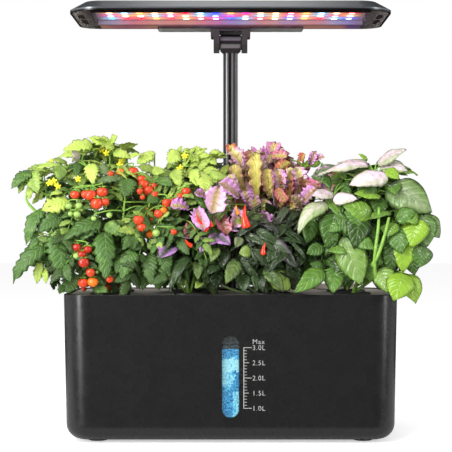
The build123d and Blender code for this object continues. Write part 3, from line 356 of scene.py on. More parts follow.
solder_mask = start_material("white_solder_mask", "#d9d2d6", 0.3, IOR=1.5)
two_tone(solder_mask, place_noise(solder_mask, 5.0), "#d2cbd0", "#e2dce0")
print("metals and mask:", anodised.name, coated.name, steel.name, solder_mask.name)

# %% [markdown]
# ## Circuit boards and clear pieces
#
# Circuit boards are glass-fibre laminate under green solder mask. Their copper tracks show as
# slightly raised, lighter lines, drawn here with a brick pattern of 2.5 mm, the usual pin spacing
# of small parts. The window's lens is polished clear acrylic, IOR 1.49. It is the clearest
# material here, so it is one clean surface with almost no roughness.

# %% Board, acrylic and light pipes
PIN_PITCH_MM = 2.5
board_laminate = start_material("green_board_laminate", "#1d5a35", 0.35, IOR=1.55)
tracks = add_node(
    board_laminate,
    "TexBrick",
    {
        "Vector": add_node(board_laminate, "TexCoord").outputs["Object"],
        "Scale": 1 / (PIN_PITCH_MM * MM),
        "Mortar Size": 0.12,
        "Color1": linear("#1a5230"),
        "Color2": linear("#215f39"),
        "Mortar": linear("#3f8a58"),
    },
)
carry(board_laminate, tracks)
add_bump(board_laminate, tracks.outputs["Fac"], 0.03)

acrylic = start_material("clear_acrylic", "#f2fbfd", 0.02, IOR=1.49, Transmission_Weight=1.0)
pipe_glow = {"Emission_Color": linear("#8cff7a"), "Emission_Strength": 0.6}
pipe_acrylic = start_material("green_light_pipe", "#b9f0b0", 0.15, IOR=1.49, **pipe_glow)
print("board and clear pieces:", board_laminate.name, acrylic.name, pipe_acrylic.name)

# %% Dress the solids
FINISHES = (
    (tub_abs, "tub", "dry_column", "power_inlet"),
    (deck_abs, "grow_deck", "fill_flap"),
    (basket_abs, "pod_baskets_front", "pod_baskets_back", "mast_bush", "guide_shoe", "hinge_washers"),
    (lamp_abs, "lamp_frame"),
    (driver_abs, "driver_cover"),
    (hinge_abs, "hinge_bracket"),
    (head_abs, "mast_head"),
    (gauge_abs, "gauge_well", "level_float"),
    (panel_abs, "control_panel"),
    (key_abs, "light_key", "timer_key", "key_switches"),
    (pump_abs, "pump_body", "riser_tube", "pump_grille"),
    (rotor_abs, "impeller"),
    (rubber, "rubber_feet", "window_gasket", "inlet_seal", "suction_cups", "lead_grommet"),
    (lead_pvc, "pump_lead"),
    (filter_foam, "filter_sponge"),
    (peat_sponge, "grow_sponges_front", "grow_sponges_back"),
    (anodised, "mast_sleeve", "mast_tube"),
    (coated, "lamp_cover"),
    (steel, "board_screws", "bracket_screws", "inlet_nut", "hinge_pin", "flap_pin", "impeller_shaft"),
    (solder_mask, "led_board"),
    (board_laminate, "control_board", "driver_boards"),
    (acrylic, "level_window"),
    (pipe_acrylic, "light_pipes"),
)
for finish, *pieces in FINISHES:
    for name in pieces:
        for slot in nodes[name].material_slots:
            slot.material = finish
print("dressed solids:", sum(len(row) - 1 for row in FINISHES))

# %% [markdown]
# ## Leaf blades
#
# The plants are most of what one sees. A leaf is a thin blade that arches along its midrib, curls
# across it and has the outline of its kind. It could be a textured card, but a card looks like
# paper from the side, so each blade is a closed mesh: a grid of points above, the same grid 0.3 mm
# below, joined along the margin. One function makes all four kinds from a few shares: where the
# blade is widest, how full it is, how many lobes it has, and how much it curls and ruffles.
#
# Each point also carries three numbers for the shader: its place on the blade, for the veins; how
# much painted light or painted shade the blade takes; and how much it blushes pink, partly its own
# colour and partly the lamp's pink light painted in.

# %% The four kinds of blade
BLADE_MM = 0.3
PLAIN = {"lobes": 0, "notch": 0.0, "fold": 0.3, "curl": -0.5, "ruffle": 0.02, "waves": 2.0}
PLAIN |= {"spread": 0.5, "slim": 1.0}
BASIL = PLAIN | {"rows": 12, "columns": 8, "widest": 0.37, "full": 0.78, "fold": 0.28, "slim": 0.84}
TOMATO = PLAIN | {"rows": 19, "columns": 6, "widest": 0.36, "full": 0.7, "lobes": 6.0, "notch": 0.36}
TOMATO |= {"ruffle": 0.03, "waves": 2.5, "spread": 0.6}
CHILLI = PLAIN | {"rows": 9, "columns": 4, "widest": 0.42, "full": 0.85, "fold": 0.5, "curl": -0.3}
CHILLI |= {"waves": 1.5, "spread": 0.3}
LETTUCE = PLAIN | {"rows": 15, "columns": 10, "widest": 0.7, "full": 0.42, "lobes": 6.5, "notch": 0.26}
LETTUCE |= {"fold": 0.2, "curl": 0.45, "ruffle": 0.1, "waves": 4.5}
print("grids of the blades:", [(kind["rows"], kind["columns"]) for kind in (BASIL, TOMATO, CHILLI, LETTUCE)])

# %% One blade


def across_and_out(start, end, face):
    """Unit directions across a blade and out of its upper side, for a blade from start to end."""
    along = (end - start).normalized()
    out = face - along * face.dot(along)
    if out.length < 0.01:
        out = along.orthogonal()
    out.normalize()
    return along.cross(out), out


def blade_points(kind, start, end, width, face, sag, draw):
    """The grid of points on a blade's upper side, its outward directions, and each point's place."""
    rows, columns = kind["rows"], kind["columns"]
    u, v = np.meshgrid(np.linspace(0, 1, rows + 1), np.linspace(-1, 1, columns + 1), indexing="ij")
    rise, fall = 2 * kind["full"] * kind["widest"], 2 * kind["full"] * (1 - kind["widest"])
    outline = np.maximum((u / kind["widest"]) ** rise * ((1 - u) / (1 - kind["widest"])) ** fall, 0.03)
    if kind["lobes"]:
        tooth = (u * kind["lobes"] + np.where(v > 0, draw.random(), draw.random())) % 1.0
        outline *= 1 - kind["notch"] * (1 - tooth) ** 1.5 * np.minimum(3 * u, 1)
    half = outline * width / 2
    length = (end - start).length
    wave = np.sin(2 * math.pi * kind["waves"] * u + draw.uniform(0, 6) + 1.3 * np.sign(v))
    lift = sag * length * 4 * u * (1 - u) + half * (kind["fold"] * np.abs(v) + kind["curl"] * v * v)
    lift += kind["ruffle"] * length * wave * v * v
    lift += 0.015 * length * np.sin(5 * u + 3 * v + draw.uniform(0, 6))
    across, out = across_and_out(start, end, face)
    twist = draw.uniform(-0.5, 0.5) * (u - 0.5)
    sideways = v * half * np.cos(twist) - lift * np.sin(twist)
    upwards = v * half * np.sin(twist) + lift * np.cos(twist)
    grid = np.array(start) + u[..., None] * np.array(end - start)
    grid = grid + sideways[..., None] * np.array(across) + upwards[..., None] * np.array(out)
    return grid, np.array(out), u, v


# %% The crops' solids
crop_nodes = sorted(name for name in nodes if name.startswith(("tomato", "chilli", "lettuce", "basil")))
crop_boxes = {name: [Vector(corner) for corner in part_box(name)] for name in crop_nodes}
crop_skins = {
    name: BVHTree.FromPolygons(
        [nodes[name].matrix_world @ vertex.co for vertex in nodes[name].data.vertices],
        [tuple(face.vertices) for face in nodes[name].data.polygons],
    )
    for name in crop_nodes
}
print("crops:", ", ".join(crop_nodes))
CANOPY_LOW = 131 * MM
FRONT_LIMIT, PRESSED_BACK = -84 * MM, 0.6  # what hangs further over the front is drawn back by this share
FAR_FRONT = Vector((0, -1, 0))


def front_of(name, spot):
    """How far forward the crop's solid reaches at the spot's place across and height."""
    place = crop_skins[name].ray_cast(FAR_FRONT + Vector((spot.x, 0, spot.z)), -FAR_FRONT)[0]
    return place.y if place else spot.y


# %% A plant being put together


class Plant:
    """Collects the blades, stems and fruit of one plant until they become one mesh."""

    def __init__(self, name, seed, node):
        self.name = name
        self.node = node
        self.draw = random.Random(seed)
        self.points, self.faces, self.slots, self.places, self.tones = [], [], [], [], []
        self.branches = []

    def add(self, points, faces, slot, places, tone):
        """Add a piece's points (in metres) and faces, its finish, and what the shader reads."""
        first = len(self.points)
        self.points += [tuple(point) for point in points]
        self.faces += [[first + corner for corner in face] for face in faces]
        self.slots += [slot] * len(faces)
        self.places += places
        self.tones += [tone] * len(points)

    def blade(self, kind, start, end, width, face, shade, blush=0.0, sag=0.1):
        """Add one leaf blade, from start to end, in metres."""
        grid, out, u, v = blade_points(kind, start, end, width, face, sag, self.draw)
        rows, columns = kind["rows"], kind["columns"]
        upper = grid.reshape(-1, 3)
        lower = (grid[1:-1, 1:-1] - out * BLADE_MM * MM).reshape(-1, 3)
        number = np.arange(upper.shape[0]).reshape(rows + 1, columns + 1)
        under = number.copy()
        under[1:-1, 1:-1] = upper.shape[0] + np.arange(lower.shape[0]).reshape(rows - 1, columns - 1)
        faces = []
        for i in range(rows):
            for j in range(columns):
                faces.append((number[i, j], number[i, j + 1], number[i + 1, j + 1], number[i + 1, j]))
                faces.append((under[i, j], under[i + 1, j], under[i + 1, j + 1], under[i, j + 1]))
        place = np.stack([u, v], axis=-1)
        spots = np.concatenate([place.reshape(-1, 2), place[1:-1, 1:-1].reshape(-1, 2)])
        own = self.draw.random()
        places = [(float(a), float(b), own) for a, b in spots]
        self.add(np.concatenate([upper, lower]), faces, 0, places, (shade, blush, 0.0))

    def tube(self, path, thick, thin, shade, slot=1, sides=6):
        """Add a stem along the path, thick at its start and thin at its end, closed at both."""
        points, count = [], len(path)
        for step, spot in enumerate(path):
            along = (path[min(step + 1, count - 1)] - path[max(step - 1, 0)]).normalized()
            side = along.cross(Vector((0.3, 0.9, 0.2))).normalized()
            other = along.cross(side)
            radius = thick + (thin - thick) * step / (count - 1)
            for turn in range(sides):
                angle = 2 * math.pi * turn / sides
                points.append(spot + side * math.cos(angle) * radius + other * math.sin(angle) * radius)
        faces = [tuple(range(sides)), tuple(reversed(range((count - 1) * sides, count * sides)))]
        for first in range(0, (count - 1) * sides, sides):
            for turn in range(sides):
                after = (turn + 1) % sides
                faces.append((first + sides + turn, first + sides + after, first + after, first + turn))
        self.add(points, faces, slot, [(0.5, 0.5, 0.5)] * len(points), (shade, 0.0, 0.0))

    def branch(self, knots, thick=1.7, thin=0.7, shade=0.45):
        """Add a main stem through the knots, in millimetres, and remember it for leaf stalks."""
        path = smooth_path([Vector(knot) * MM for knot in knots], 5)
        self.branches += path
        self.tube(path, thick * MM, thin * MM, shade)

    def stalk(self, start, thickness=0.6, shade=0.5):
        """Add a stalk from the nearest lower point of a branch to a blade's start."""
        lower = [p for p in self.branches if p.z < start.z - 2 * MM]
        lower = lower or [min(self.branches, key=lambda p: p.z)]
        root = min(lower, key=lambda p: (p - start).length + 0.4 * abs(start.z - p.z))
        middle = (root + start) / 2 + Vector((0, 0, 0.12 * (root - start).length))
        self.tube(smooth_path([root, middle, start], 4), thickness * MM, 0.7 * thickness * MM, shade, sides=5)

    def leaf(self, kind, start, end, width, tilt, shade, blush=0.0, sag=0.1):
        """Add one leaf on its stalk, in millimetres; the tilt turns its upper side to the front."""
        lean = math.radians(tilt)
        face = Vector((0.4 * self.draw.uniform(-1, 1), -math.sin(lean), math.cos(lean)))
        start, end = Vector(start) * MM, Vector(end) * MM
        start.y = min(start.y, front_of(self.node, start) + 4 * MM)
        end.y = min(end.y, front_of(self.node, end) - 3 * MM)
        self.blade(kind, start, end, width * kind["slim"] * MM, face, shade, blush, sag)
        self.stalk(start)

    def finish(self, slot, finishes, stands_for_node=True):
        """Turn the collected pieces into one smooth mesh, which can stand for the crop's solid."""
        grown = np.array(self.points)
        past = FRONT_LIMIT - grown[:, 1]
        grown[:, 1] += np.where(past > 0, PRESSED_BACK * past, 0)
        plant = add_mesh(self.name, grown.tolist(), self.faces, *finishes)
        mesh = plant.data
        mesh.polygons.foreach_set("material_index", self.slots)
        mesh.polygons.foreach_set("use_smooth", [True] * len(self.faces))
        for name, values in (("place", self.places), ("tone", self.tones)):
            layer = mesh.attributes.new(name, "FLOAT_VECTOR", "POINT")
            layer.data.foreach_set("vector", [number for value in values for number in value])
        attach(plant, "deck")
        if stands_for_node:
            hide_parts(self.node)
        print(self.name, "points:", len(self.points), "faces:", len(self.faces))


def smooth_path(knots, steps):
    """Points along a smooth curve through the knots (Catmull-Rom)."""
    ends = [knots[0] * 2 - knots[1]] + knots + [knots[-1] * 2 - knots[-2]]
    path = []
    for a, b, c, d in zip(ends, ends[1:], ends[2:], ends[3:]):
        for step in range(steps):
            t = step / steps
            bend = (2 * a - 5 * b + 4 * c - d) * t * t + (3 * b - a - 3 * c + d) * t**3
            path.append(0.5 * (2 * b + (c - a) * t + bend))
    return path + [knots[-1]]


# %% [markdown]
# ## Leaf finishes
#
# A living leaf has a waxy skin over pale green flesh, so it is satin and lets a little light
# through. Its veins are lighter than the blade and sunk into it, and the blade quilts up between
# them. The side veins leave the midrib at a slant, so they are stripes in "place along the blade
# plus a share of the distance from the midrib". The shade attribute is painted light and painted
# shade: it moves the colour from the deep green of a shaded inner leaf to the yellow-green of a
# leaf just under the lamp. The blush attribute brings in the pink or purple, partly the leaf's own
# colour and partly the lamp's pink light painted in.

# %% A leaf material


def leaf_finish(name, greens, blushes, vein, roughness, side_veins, quilt_mm, blush_across):
    """Waxy leaf: its attributes choose the colour, and its veins are sunk lines."""
    leaf = start_material(name, greens[1], roughness, IOR=1.45)
    tone = add_node(leaf, "Attribute", attribute_name="tone").outputs["Vector"]
    shade, blushing = add_node(leaf, "SeparateXYZ", {"Vector": tone}).outputs[:2]
    place = add_node(leaf, "Attribute", attribute_name="place").outputs["Vector"]
    along, across, own = add_node(leaf, "SeparateXYZ", {"Vector": place}).outputs
    blotch = place_noise(leaf, 5.0, 4.0)
    # Painted light and shade: the shade attribute, with the leaf's own random tone, picks the green.
    level = add_node(leaf, "Math", {0: own, 1: 0.22, 2: shade}, operation="MULTIPLY_ADD")
    level = add_node(leaf, "Math", {0: blotch, 1: 0.4, 2: level}, operation="MULTIPLY_ADD")
    ramp = add_node(leaf, "ValToRGB", {"Fac": level})
    set_ramp(ramp, (0.22, greens[0]), (0.62, greens[1]), (1.0, greens[2]))
    pinks = add_node(leaf, "ValToRGB", {"Fac": own})
    set_ramp(pinks, *((share / (len(blushes) - 1), pink) for share, pink in enumerate(blushes)))
    aside = add_node(leaf, "Math", {0: across}, operation="ABSOLUTE")
    spread = {"Value": blotch, "From Min": 0.3, "From Max": 0.6, "To Min": 0.5, "To Max": 1.2}
    patchy = add_node(leaf, "MapRange", spread)
    reach = {"Value": aside, "From Min": 0.1, "From Max": 0.8}
    reach |= {"To Min": blush_across[0], "To Max": blush_across[1]}
    margin = add_node(leaf, "MapRange", reach, interpolation_type="SMOOTHSTEP")
    # The blush: partly the lamp's pink light painted in, partly the leaf's own pink or purple.
    amount = add_node(leaf, "Math", {0: blushing, 1: patchy}, operation="MULTIPLY")
    amount = add_node(leaf, "Math", {0: amount, 1: margin}, operation="MULTIPLY", use_clamp=True)
    tinted = add_node(leaf, "MixRGB", {"Fac": amount, "Color1": ramp, "Color2": pinks})
    slant = add_node(leaf, "Math", {0: aside, 1: -0.25, 2: along}, operation="MULTIPLY_ADD")
    bent = add_node(leaf, "Math", {0: blotch, 1: 0.05, 2: slant}, operation="MULTIPLY_ADD")
    stripes = add_node(leaf, "Math", {0: bent, 1: side_veins}, operation="MULTIPLY")
    ridge = add_node(leaf, "Math", {0: stripes, 1: 0.5}, operation="PINGPONG")
    midrib = add_node(leaf, "Math", {0: aside, 1: 4.0}, operation="MULTIPLY")
    nearest = add_node(leaf, "Math", {0: ridge, 1: midrib}, operation="MINIMUM")
    clear = add_node(leaf, "MapRange", {"Value": nearest, "From Max": 0.12, "To Min": 0.2, "To Max": 0.0})
    carry(leaf, add_node(leaf, "MixRGB", {"Fac": clear, "Color1": tinted, "Color2": linear(vein)}))
    sunk = add_node(leaf, "MapRange", {"Value": nearest, "From Max": 0.3}, interpolation_type="SMOOTHSTEP")
    add_bump(leaf, sunk, quilt_mm)
    return leaf


def stem_finish(name, dark, light):
    """A green or purple stem, mottled and satin."""
    stem = start_material(name, light, 0.45, IOR=1.45)
    two_tone(stem, place_noise(stem, 4.0, 3.0), dark, light)
    return stem


# %% Four leaves and two stems
# Each leaf: greens from painted shade to painted light, blushes (partly painted pink light, partly
# the leaves' own pink), vein, roughness, side veins along the blade, depth of the quilting in mm,
# and how much of the blush is at the midrib and at the margin.
greens, blushes = ("#2d461a", "#4f7431", "#7fa32f"), ("#dbb2cd", "#ecd4e5")
basil_leaf = leaf_finish("basil_leaf", greens, blushes, "#adc48c", 0.26, 6.0, 0.3, (1.2, 0.5))
greens, blushes = ("#2f401a", "#496c2e", "#b0c95a"), ("#b9a7a3", "#c9b7b3")
tomato_leaf = leaf_finish("tomato_leaf", greens, blushes, "#9cbc7c", 0.42, 8.0, 0.3, (1.0, 1.0))
greens, blushes = ("#1e2a16", "#374b2a", "#829a46"), ("#9561a3", "#d8a8da")
chilli_leaf = leaf_finish("chilli_leaf", greens, blushes, "#64785a", 0.24, 6.0, 0.2, (0.2, 1.3))
greens, blushes = ("#84553c", "#a8984a", "#d6d468"), ("#93506c", "#c2644e", "#c987cc", "#efbedd")
lettuce_leaf = leaf_finish("lettuce_leaf", greens, blushes, "#d2cf88", 0.28, 5.0, 0.5, (0.15, 1.35))
green_stem = stem_finish("green_stem", "#5c8a2f", "#93bd4c")
dusky_stem = stem_finish("dusky_stem", "#2c3a25", "#5a6a3c")
print("leaf finishes:", sum(material.name.endswith("_leaf") for material in bpy.data.materials))

# %% [markdown]
# ## Basil
#
# Basil has smooth, broad, domed leaves in opposite pairs, with a pointed tip. The pink light of the
# lamp, which makes the top leaves look almost white and pink, is painted into their colour, and the
# ones that hang lower and outside are a bright, clear green. The leaves that give the plant its look
# are set one by one, from the way a gardener would describe them: where the leaf starts and ends,
# in millimetres, how wide it is, how far it tilts to the front, how much painted light or shade it
# takes and how much painted pink. Younger leaves then fill the crown.

# %% Set leaves of the basil in front
# Each row: start, end, width, tilt in degrees and shade (painted light and shade), then blush
# (partly painted pink light, partly the leaf's own pink) and sag where it has them.
BASIL_FRONT = [
    ((124, -44, 234), (148, -52, 245), 24, 38, 0.5, 0.6),
    ((127, -46, 233), (149, -58, 227), 22, 52, 0.5, 0.7),
    ((132, -58, 224), (99, -68, 215), 27, 52, 0.6, 1.0),
    ((118, -45, 233), (73, -48, 223), 18, 30, 0.6, 0.8),
    ((133, -50, 216), (167, -62, 192), 38, 62, 0.42, 0.12),
    ((131, -56, 229), (141, -63, 220), 14, 50, 1.0),
    ((86, -62, 208), (67, -68, 206), 18, 42, 0.5, 0.8),
    ((85, -66, 204), (106, -72, 203), 18, 45, 0.6, 1.0),
    ((81, -62, 201), (56, -70, 174), 20, 45, 0.5, 0.35, 0.25),
    ((126, -50, 206), (103, -60, 208), 20, 35, 0.5),
    ((118, -56, 190), (93, -62, 198), 24, 58, 0.35),
    ((113, -50, 183), (94, -58, 193), 20, 62, 0.3),
    ((94, -60, 186), (80, -68, 176), 19, 62, 0.4),
    ((94, -66, 173), (108, -80, 132), 34, 82, 0.5, 0.05, 0.06),
    ((103, -60, 172), (119, -68, 161), 18, 62, 0.42),
    ((81, -68, 164), (96, -75, 158), 14, 60, 0.45),
    ((78, -70, 144), (52, -82, 126), 20, 58, 0.42, 0.0, 0.2),
    ((87, -66, 147), (85, -74, 125), 22, 85, 0.22),
    ((115, -66, 147), (118, -72, 135), 16, 80, 0.42),
    ((125, -70, 147), (130, -79, 126), 23, 80, 0.48, 0.05),
    ((144, -74, 142), (134, -85, 119), 30, 80, 0.66, 0.0, 0.16),
    ((147, -60, 141), (154, -66, 116), 24, 78, 0.75, 0.0, 0.16),
    ((149, -40, 160), (153, -44, 140), 18, 80, 0.05),
    ((159, -45, 165), (156, -52, 146), 28, 78, 0.3),
    ((159, -50, 189), (163, -60, 164), 28, 72, 0.32, 0.05),
    ((160, -45, 189), (175, -52, 171), 21, 66, 0.32, 0.05, 0.2),
    ((154, -40, 187), (149, -47, 163), 32, 76, 0.92),
    ((138, -62, 180), (141, -70, 158), 26, 72, 0.3),
    ((144, -50, 174), (143, -60, 142), 25, 80, 0.85),
    ((134, -56, 184), (129, -64, 172), 20, 70, 0.38),
    ((144, -50, 194), (154, -58, 182), 19, 62, 0.55),
    ((137, -46, 187), (153, -52, 193), 20, 58, 0.28),
    ((63, -48, 150), (55, -56, 163), 20, 62, 0.1),
    ((74, -40, 198), (70, -50, 170), 26, 78, 0.05),
    ((86, -40, 192), (80, -50, 162), 26, 78, 0.0),
    ((68, -40, 172), (64, -50, 142), 26, 80, 0.0),
    ((108, -50, 194), (102, -56, 162), 28, 80, 0.0),
    ((96, -56, 150), (92, -64, 130), 22, 80, 0.0),
    ((78, -60, 164), (63, -66, 158), 16, 62, 0.22),
    ((80, -64, 144), (66, -70, 150), 14, 60, 0.2),
    ((60, -44, 153), (60, -52, 129), 19, 80, 0.05),
    ((124, -40, 152), (125, -48, 127), 26, 80, 0.1),
    ((72, -38, 226), (84, -44, 212), 18, 60, 0.15),
    ((70, -50, 190), (63, -60, 165), 19, 74, 0.05),
    ((134, -40, 167), (133, -50, 142), 22, 80, 0.05),
]
BASIL_BACK = [
    ((119, -30, 233), (92, -28, 235), 17, 32, 0.6, 0.5),
    ((91, -22, 233), (72, -26, 226), 20, 30, 0.1, 0.1),
    ((118, -25, 238), (110, -25, 243), 7, 40, 1.0),
    ((78, 0, 238), (62, -4, 232), 14, 30, 0.8),
    ((126, 5, 226), (150, 8, 214), 28, 20, 0.4, 0.3),
    ((112, 10, 232), (98, 30, 228), 22, -20, 0.5, 0.4),
]

# %% Set leaves of the tomatoes
TOMATO_FRONT_1 = [
    ((-168, -50, 228), (-161, -57, 208), 19, 68, 0.42),
    ((-167, -50, 227), (-184, -56, 212), 14, 52, 0.4, 0.0, 0.2),
    ((-173, -48, 226), (-178, -54, 208), 10, 60, 0.35),
    ((-154, -46, 229), (-171, -50, 229), 12, 42, 0.55),
    ((-143, -44, 233), (-164, -48, 230), 11, 40, 0.65),
    ((-139, -40, 235), (-151, -44, 237), 10, 45, 0.6),
    ((-143, -50, 232), (-144, -58, 219), 15, 70, 0.5),
    ((-128, -46, 237), (-134, -50, 244), 11, 55, 0.4, 0.6),
    ((-118, -48, 234), (-115, -55, 216), 15, 75, 0.75),
    ((-129, -46, 235), (-130, -52, 222), 10, 75, 0.15),
    ((-112, -46, 232), (-103, -54, 224), 14, 60, 0.32, 0.1),
    ((-88, -44, 224), (-113, -50, 217), 14, 48, 0.28, 0.1),
    ((-85, -54, 221), (-89, -62, 205), 19, 76, 0.12),
    ((-135, -44, 202), (-157, -52, 194), 21, 58, 0.85),
    ((-142, -46, 210), (-151, -52, 206), 9, 50, 0.8),
    ((-155, -50, 196), (-170, -58, 165), 16, 52, 0.2, 0.0, 0.22),
    ((-163, -50, 167), (-170, -56, 155), 9, 60, 0.3),
    ((-168.4, -54, 214.6), (-168.4, -58, 203), 8, 70, 0.6),
    ((-142, -58, 190), (-160, -66, 176), 19, 66, 0.2),
    ((-143, -64, 175), (-141, -78, 140), 27, 80, 0.3, 0.0, 0.12),
    ((-154, -60, 166), (-180, -72, 133), 19, 62, 0.3, 0.0, 0.22),
    ((-158, -64, 151), (-161, -70, 133), 10, 76, 0.75),
    ((-154, -60, 146), (-153, -66, 133), 7, 80, 0.95),
    ((-108, -62, 186), (-139, -72, 168), 19, 62, 0.18, 0.0, 0.14),
    ((-110, -64, 184), (-124, -74, 169), 16, 72, 0.26),
    ((-104, -64, 183), (-87, -73, 172), 15, 58, 0.32, 0.0, 0.18),
    ((-105, -68, 177), (-103, -82, 136), 23, 85, 0.3, 0.0, 0.08),
    ((-83, -62, 181), (-81, -70, 161), 20, 80, 0.18),
    ((-81, -66, 161), (-91, -76, 137), 19, 80, 0.22),
    ((-130, -62, 142), (-135, -70, 125), 21, 80, 0.12),
    ((-137, -64, 132), (-142, -72, 125), 12, 70, 0.1),
    ((-113, -66, 131), (-102, -74, 126), 13, 70, 0.2),
]
TOMATO_FRONT_2 = [
    ((-24, -34, 227), (-20, -42, 208), 21, 76, 0.85, 0.0, 0.08),
    ((-32, -32, 229), (-28, -40, 214), 14, 72, 0.75),
    ((-18, -32, 225), (-3, -38, 221), 13, 60, 0.6),
    ((-48, -36, 229), (-42, -44, 214), 17, 70, 0.55),
    ((-58, -36, 230), (-66, -42, 225), 14, 55, 0.55),
    ((-62, -42, 222), (-49, -50, 214), 15, 60, 0.3),
    ((-63, -56, 186), (-50, -64, 192), 13, 60, 0.42),
    ((-68, -60, 158), (-66, -70, 132), 19, 80, 0.12),
    ((-56, -56, 160), (-52, -66, 140), 16, 78, 0.15),
    ((-74, -60, 190), (-70, -68, 176), 15, 74, 0.22),
    ((-60, -50, 206), (-70, -58, 200), 15, 66, 0.2),
    ((-72, -48, 152), (-74, -56, 127), 20, 80, 0.08),
    ((-60, -46, 150), (-60, -54, 127), 20, 80, 0.12),
]
TOMATO_BACK_1 = [
    ((-100, -18, 249), (-123, -24, 257), 17, 45, 0.95),
    ((-105, -16, 252), (-98, -20, 259), 13, 55, 1.0),
    ((-119, -20, 252), (-144, -28, 246), 17, 45, 0.9),
    ((-126, -20, 252), (-126, -28, 244), 10, 60, 0.75),
    ((-101, -16, 246), (-86, -20, 239), 13, 50, 0.85),
    ((-91, -14, 241), (-75, -18, 242), 8, 45, 0.8),
    ((-120, 0, 246), (-150, -2, 240), 18, 30, 0.7),
    ((-110, 6, 250), (-118, 30, 240), 18, -25, 0.6, 0.0),
]
TOMATO_BACK_2 = [
    ((-62, -20, 226), (-80, -26, 232), 14, 50, 0.6),
    ((-60, -24, 223), (-73, -30, 212), 15, 60, 0.4),
    ((-72, -24, 217), (-60, -30, 208), 15, 60, 0.2),
    ((-58, -20, 230), (-50, -28, 219), 14, 62, 0.45),
    ((-68, -12, 243), (-81, -16, 235), 15, 55, 0.95),
    ((-67, -8, 246), (-77, -12, 239), 13, 50, 0.95),
    ((-45, -4, 246), (-54, -10, 235), 17, 66, 0.9),
    ((-36, -2, 247), (-25, -6, 248), 10, 50, 0.95),
    ((-18, 2, 245), (-3, -2, 241), 11, 55, 0.85),
    ((-40, 6, 246), (-30, 24, 240), 18, -20, 0.7, 0.0),
    ((-22, 0, 242), (-12, -6, 234), 13, 60, 0.8),
]

# %% Set leaves of the chilli and the lettuce
CHILLI_FRONT = [
    ((-46, -64, 164), (-59, -72, 154), 18, 62, 0.25, 0.75),
    ((-30, -62, 171), (-48, -68, 172), 10, 45, 0.2, 0.7),
    ((-20, -66, 172), (-25, -72, 159), 12, 70, 0.3, 1.0),
    ((-10, -64, 174), (-20, -70, 165), 10, 62, 0.3, 0.9),
    ((-11, -66, 173), (0, -72, 165), 12, 62, 0.3, 0.9),
    ((7, -64, 177), (-2, -68, 178), 8, 55, 0.3, 0.9),
    ((-11, -66, 163), (-16, -73, 151), 10, 72, 0.6),
    ((-28, -64, 152), (-27, -72, 136), 9, 76, 0.35),
    ((6, -70, 153), (-4, -80, 133), 13, 76, 0.5),
    ((12, -66, 141), (11, -74, 126), 14, 80, 0.1),
    ((20, -68, 142), (21, -74, 126), 8, 80, 0.3),
    ((26, -66, 141), (27, -74, 126), 9, 80, 0.1),
    ((-32, -64, 156), (-51, -78, 127), 10, 66, 0.3, 0.0, 0.18),
    ((-46, -60, 149), (-53, -66, 136), 9, 70, 0.1, 0.5),
    ((28, -66, 146), (44, -78, 126), 12, 66, 0.35, 0.0, 0.16),
    ((31, -62, 172), (56, -72, 146), 12, 60, 0.35, 0.15, 0.14),
    ((18, -66, 160), (7, -72, 158), 12, 66, 0.6),
    ((9, -66, 172), (4, -72, 163), 9, 70, 0.4, 0.1),
    ((-16, -60, 181), (-1, -66, 195), 10, 62, 0.5),
    ((13, -68, 183), (4, -74, 185), 8, 60, 0.6),
    ((-3, -60, 163), (-7, -68, 145), 11, 78, 0.05),
    ((33, -54, 144), (50, -64, 127), 17, 72, 0.7),
    ((-39, -60, 140), (-39, -68, 129), 9, 76, 0.65),
    ((-24, -62, 134), (-29, -70, 129), 8, 60, 0.95),
    ((40, -60, 165), (30, -68, 150), 12, 74, 0.1),
    ((-8, -56, 150), (-20, -64, 140), 11, 74, 0.1),
    ((-12, -50, 150), (-13, -58, 127), 15, 80, 0.05),
    ((53, -48, 150), (52, -56, 127), 17, 80, 0.05),
]
